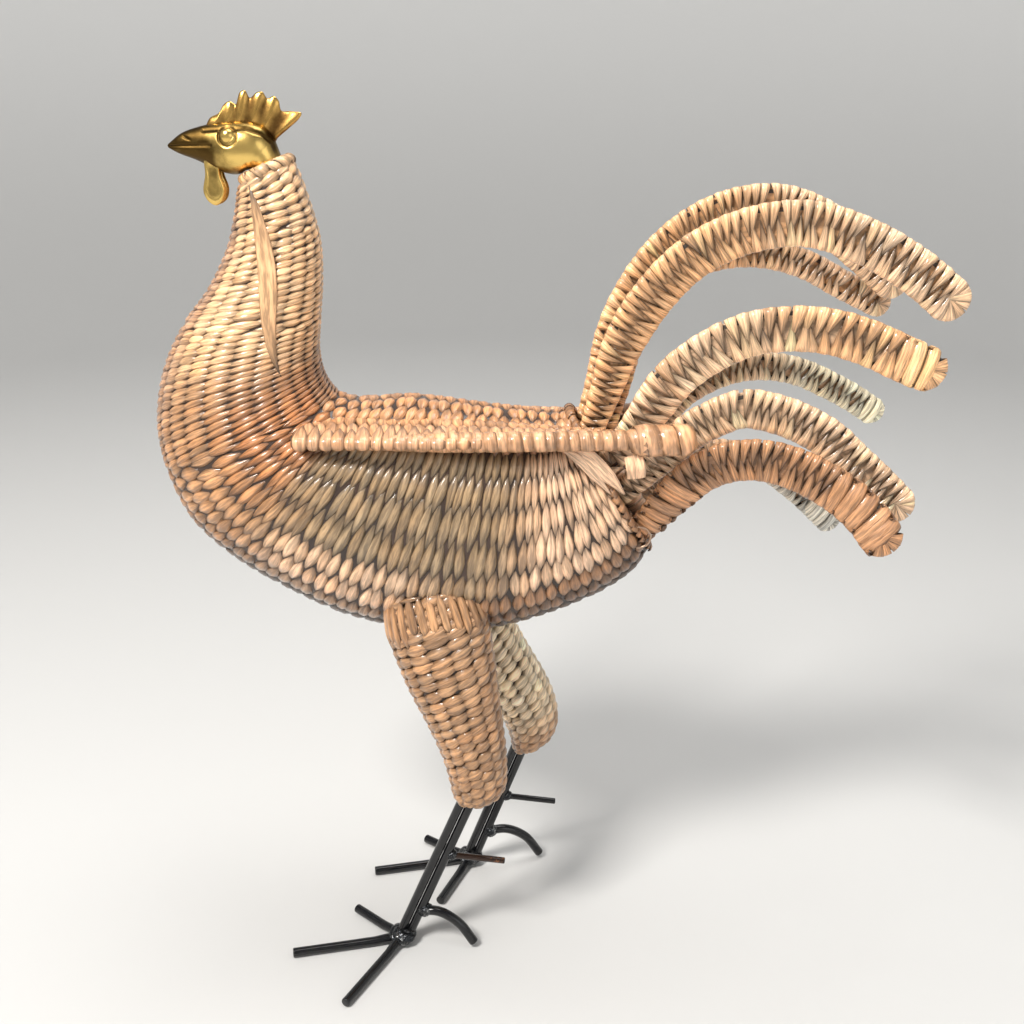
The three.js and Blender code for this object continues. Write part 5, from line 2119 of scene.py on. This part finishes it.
@dataclass(frozen=True)
class Studio:
    """Camera, floor and lights. The camera's place and angle are those of the photograph."""

    camera_place: Triple = (0.8134, -0.02347, 0.656)
    pitch: float = 20.0
    focal: float = 41.48
    sensor: float = 36.0
    nearest: float = 0.02
    lamps: tuple = (
        Lamp("key", (1.2, -1.1, 2.2), 0.6, 71.0, (1.0, 0.97, 0.93)),
        Lamp("fill", (1.7, 1.5, 1.1), 1.4, 6.0, (0.95, 0.97, 1.0)),
        Lamp("top", (-0.2, 0.2, 2.3), 1.2, 24.0, (1.0, 0.99, 0.97)),
    )
    sky_tone: Colour = (0.92, 0.95, 1.0, 1.0)
    sky_strength: float = 0.27
    floor_tone: Colour = (0.63, 0.627, 0.617, 1.0)
    wall_tone: Colour = (0.92, 0.92, 0.91, 1.0)
    bowl_floor: float = 2.4
    bowl_bend: float = 1.4
    bowl_height: float = 4.2

    def backdrop(self) -> None:
        """Make a round floor that bends up into a wall: one profile turned about the centre."""
        sides = 96
        bend = np.linspace(0.0, np.pi / 2, 24)
        radius = np.concatenate([
            [0.001], np.linspace(0.2, self.bowl_floor, 12)[:-1],
            self.bowl_floor + self.bowl_bend * np.sin(bend), [self.bowl_floor + self.bowl_bend]])
        height = np.concatenate([
            np.zeros(12), self.bowl_bend * (1 - np.cos(bend)), [self.bowl_height]])
        angle = np.arange(sides) * 2 * np.pi / sides
        points = np.stack([
            radius[:, None] * np.cos(angle), radius[:, None] * np.sin(angle),
            np.broadcast_to(height[:, None], (len(radius), sides))], -1)
        index = np.arange(len(radius) * sides).reshape(len(radius), sides)
        here, following = index[:-1], index[1:]
        quads = np.stack([here, following, np.roll(following, -1, 1), np.roll(here, -1, 1)], -1)
        mesh = bpy.data.meshes.new("floor")
        mesh.from_pydata(points.reshape(-1, 3).tolist(), [],
                         quads.reshape(-1, 4).tolist() + [index[0].tolist()])
        mesh.polygons.foreach_set("use_smooth", np.ones(len(mesh.polygons), bool))
        shader = Shader("floor")
        up = shader.node("ShaderNodeSeparateXYZ", "Z", {}, {0: shader.place((1.0, 1.0, 1.0))})
        pale = shader.mix(shader.ramp(up, 0.0, 1.2, 0.0, 1.0), self.floor_tone, self.wall_tone)
        mesh.materials.append(shader.finish({
            "Base Color": pale, "Roughness": 0.9, "Specular IOR Level": 0.1}))
        floor = bpy.data.objects.new("floor", mesh)
        bpy.context.collection.objects.link(floor)

    def sky(self) -> None:
        """Light the scene evenly from all round."""
        world = bpy.data.worlds.new("studio")
        world.use_nodes = True
        background = world.node_tree.nodes["Background"]
        background.inputs["Color"].default_value = self.sky_tone
        background.inputs["Strength"].default_value = self.sky_strength
        bpy.context.scene.world = world

    def camera(self) -> None:
        """Set the camera up, looking along -X and down by its pitch."""
        camera = bpy.data.cameras.new("camera")
        camera.lens = self.focal
        camera.sensor_width = self.sensor
        camera.clip_start = self.nearest
        made = bpy.data.objects.new("camera", camera)
        made.location = self.camera_place
        made.rotation_euler = (math.radians(90.0 - self.pitch), 0.0, math.radians(90.0))
        bpy.context.collection.objects.link(made)
        bpy.context.scene.camera = made

    def build(self) -> None:
        """Make the whole studio."""
        self.backdrop()
        for lamp in self.lamps:
            lamp.build()
        self.sky()
        bpy.context.scene.view_settings.view_transform = "Standard"
        self.camera()


LEGS = (
    Leg("left", 1.0, (-25.0, 133.0), 4.5, -36.7, (47.5, -88.5),
        (("outer", 63, 82), ("middle", 12, 88), ("inner", -41, 55)),
        (30.0, 43.0, 7.0), 82.0, Tone.NEAR_THIGH),
    Leg("right", -1.0, (18.0, 130.0), 14.0, 6.8, (-56.0, -37.5),
        (("outer", -36, 51), ("middle", 12, 85), ("inner", 68, 63)),
        (35.0, 47.0, -11.0), 74.0, Tone.FAR_THIGH),
)

FEATHERS = (
    Feather("left_top", 0.15, 50, 1, 18, 31,
            ((65, 448), (75, 481), (93, 515), (121, 546), (156, 564), (194, 569), (232, 558),
             (268, 538), (300, 512)), 6.0, Tone.WARM_FEATHER, Tone.FEATHER),
    Feather("left_upper", 0.37, 50, 1, 19, 32,
            ((91, 428), (113, 462), (135, 481), (160, 494), (186, 499), (214, 498), (240, 491),
             (266, 480), (293, 469)), 8.0, Tone.FEATHER, Tone.WARM_FEATHER,
            ((-34.0, 5.0, 9.0, 0.9),)),
    Feather("left_middle", 0.6, 44, 1, 17, 29,
            ((108.5, 404.5), (127.5, 423.5), (146, 435), (162, 441), (181, 439), (202, 432),
             (222, 421), (240, 405), (258, 389), (281, 366)), 6.2, Tone.FEATHER, Tone.FEATHER),
    Feather("left_lower", 0.855, 70, 1, 20, 31,
            ((99.5, 353), (115, 374), (134, 395), (153, 405), (173, 408), (195, 404), (216, 395),
             (235, 383), (250, 368), (264, 348)), 6.2, Tone.DIM_FEATHER, Tone.DIM_FEATHER,
            ((10.0, 165.0, 10.0, 1.3), (-58.0, 3.0, 11.5, 1.0))),
    Feather("right_top", 0.15, -44, 1, 18, 30,
            ((65, 450), (74, 483), (88, 513), (106, 539), (131, 560), (160, 572), (191, 574),
             (223, 563), (254, 541), (290, 511)), 6.0, Tone.WARM_FEATHER, Tone.FEATHER),
    Feather("right_upper", 0.37, -58, 0.5, 18, 22,
            ((78, 440), (89, 479), (108, 511), (132, 530), (160, 538), (190, 537), (218, 529),
             (247, 514), (284, 496)), 5.8, Tone.WARM_FEATHER, Tone.FEATHER),
    Feather("right_middle", 0.6, -52, 1, 18, 22,
            ((104, 408), (126, 436), (150, 450), (172, 456), (195, 456), (217, 451), (239, 441),
             (261, 429), (285, 413)), 5.8, Tone.FEATHER, Tone.PALE_FEATHER,
            ((-18.0, 3.0, 8.0, 0.6),)),
    Feather("right_lower", 0.85, -52, 1, 20, 22,
            ((100, 362), (122, 381), (150, 391), (185, 384), (218, 361), (243, 338), (258, 322)),
            5.8, Tone.FEATHER, Tone.GREY_FEATHER, ((-34.0, 3.0, 7.5, 1.6),)),
)


def dress_frame() -> None:
    """Give the carried-over rods of the hidden frame their steel finish."""
    replaced = {node for made in bpy.data.objects for node in made.get("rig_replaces", [])}
    for name, node in frame["nodes"].items():
        if name not in replaced:
            for place in node.material_slots:
                place.material = Finish.ROD.material
            LOG.info("%s keeps its CAD mesh", name)


def corners(box: tuple[Vector, Vector]) -> list[list[float]]:
    """A box as plain lists."""
    return [list(corner) for corner in box]


def main() -> None:
    """Build the studio and every piece, in order."""
    logging.basicConfig(level=logging.INFO)
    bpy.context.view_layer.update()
    Studio().build()
    body = Body()
    body.build(np.random.default_rng(11))
    for leg in LEGS:
        leg.build()
        Thigh(leg).build(np.random.default_rng(21))
    Wing("left", 1.0, 0.0).build(np.random.default_rng(31))
    Wing("right", -1.0, 9.0).build(np.random.default_rng(32))
    for number, feather in enumerate(FEATHERS):
        feather.build(body, np.random.default_rng(40 + number))
    TailRoot(body).build(np.random.default_rng(60))
    Head(body).build()
    dress_frame()


if __name__ == "__main__":
    main()
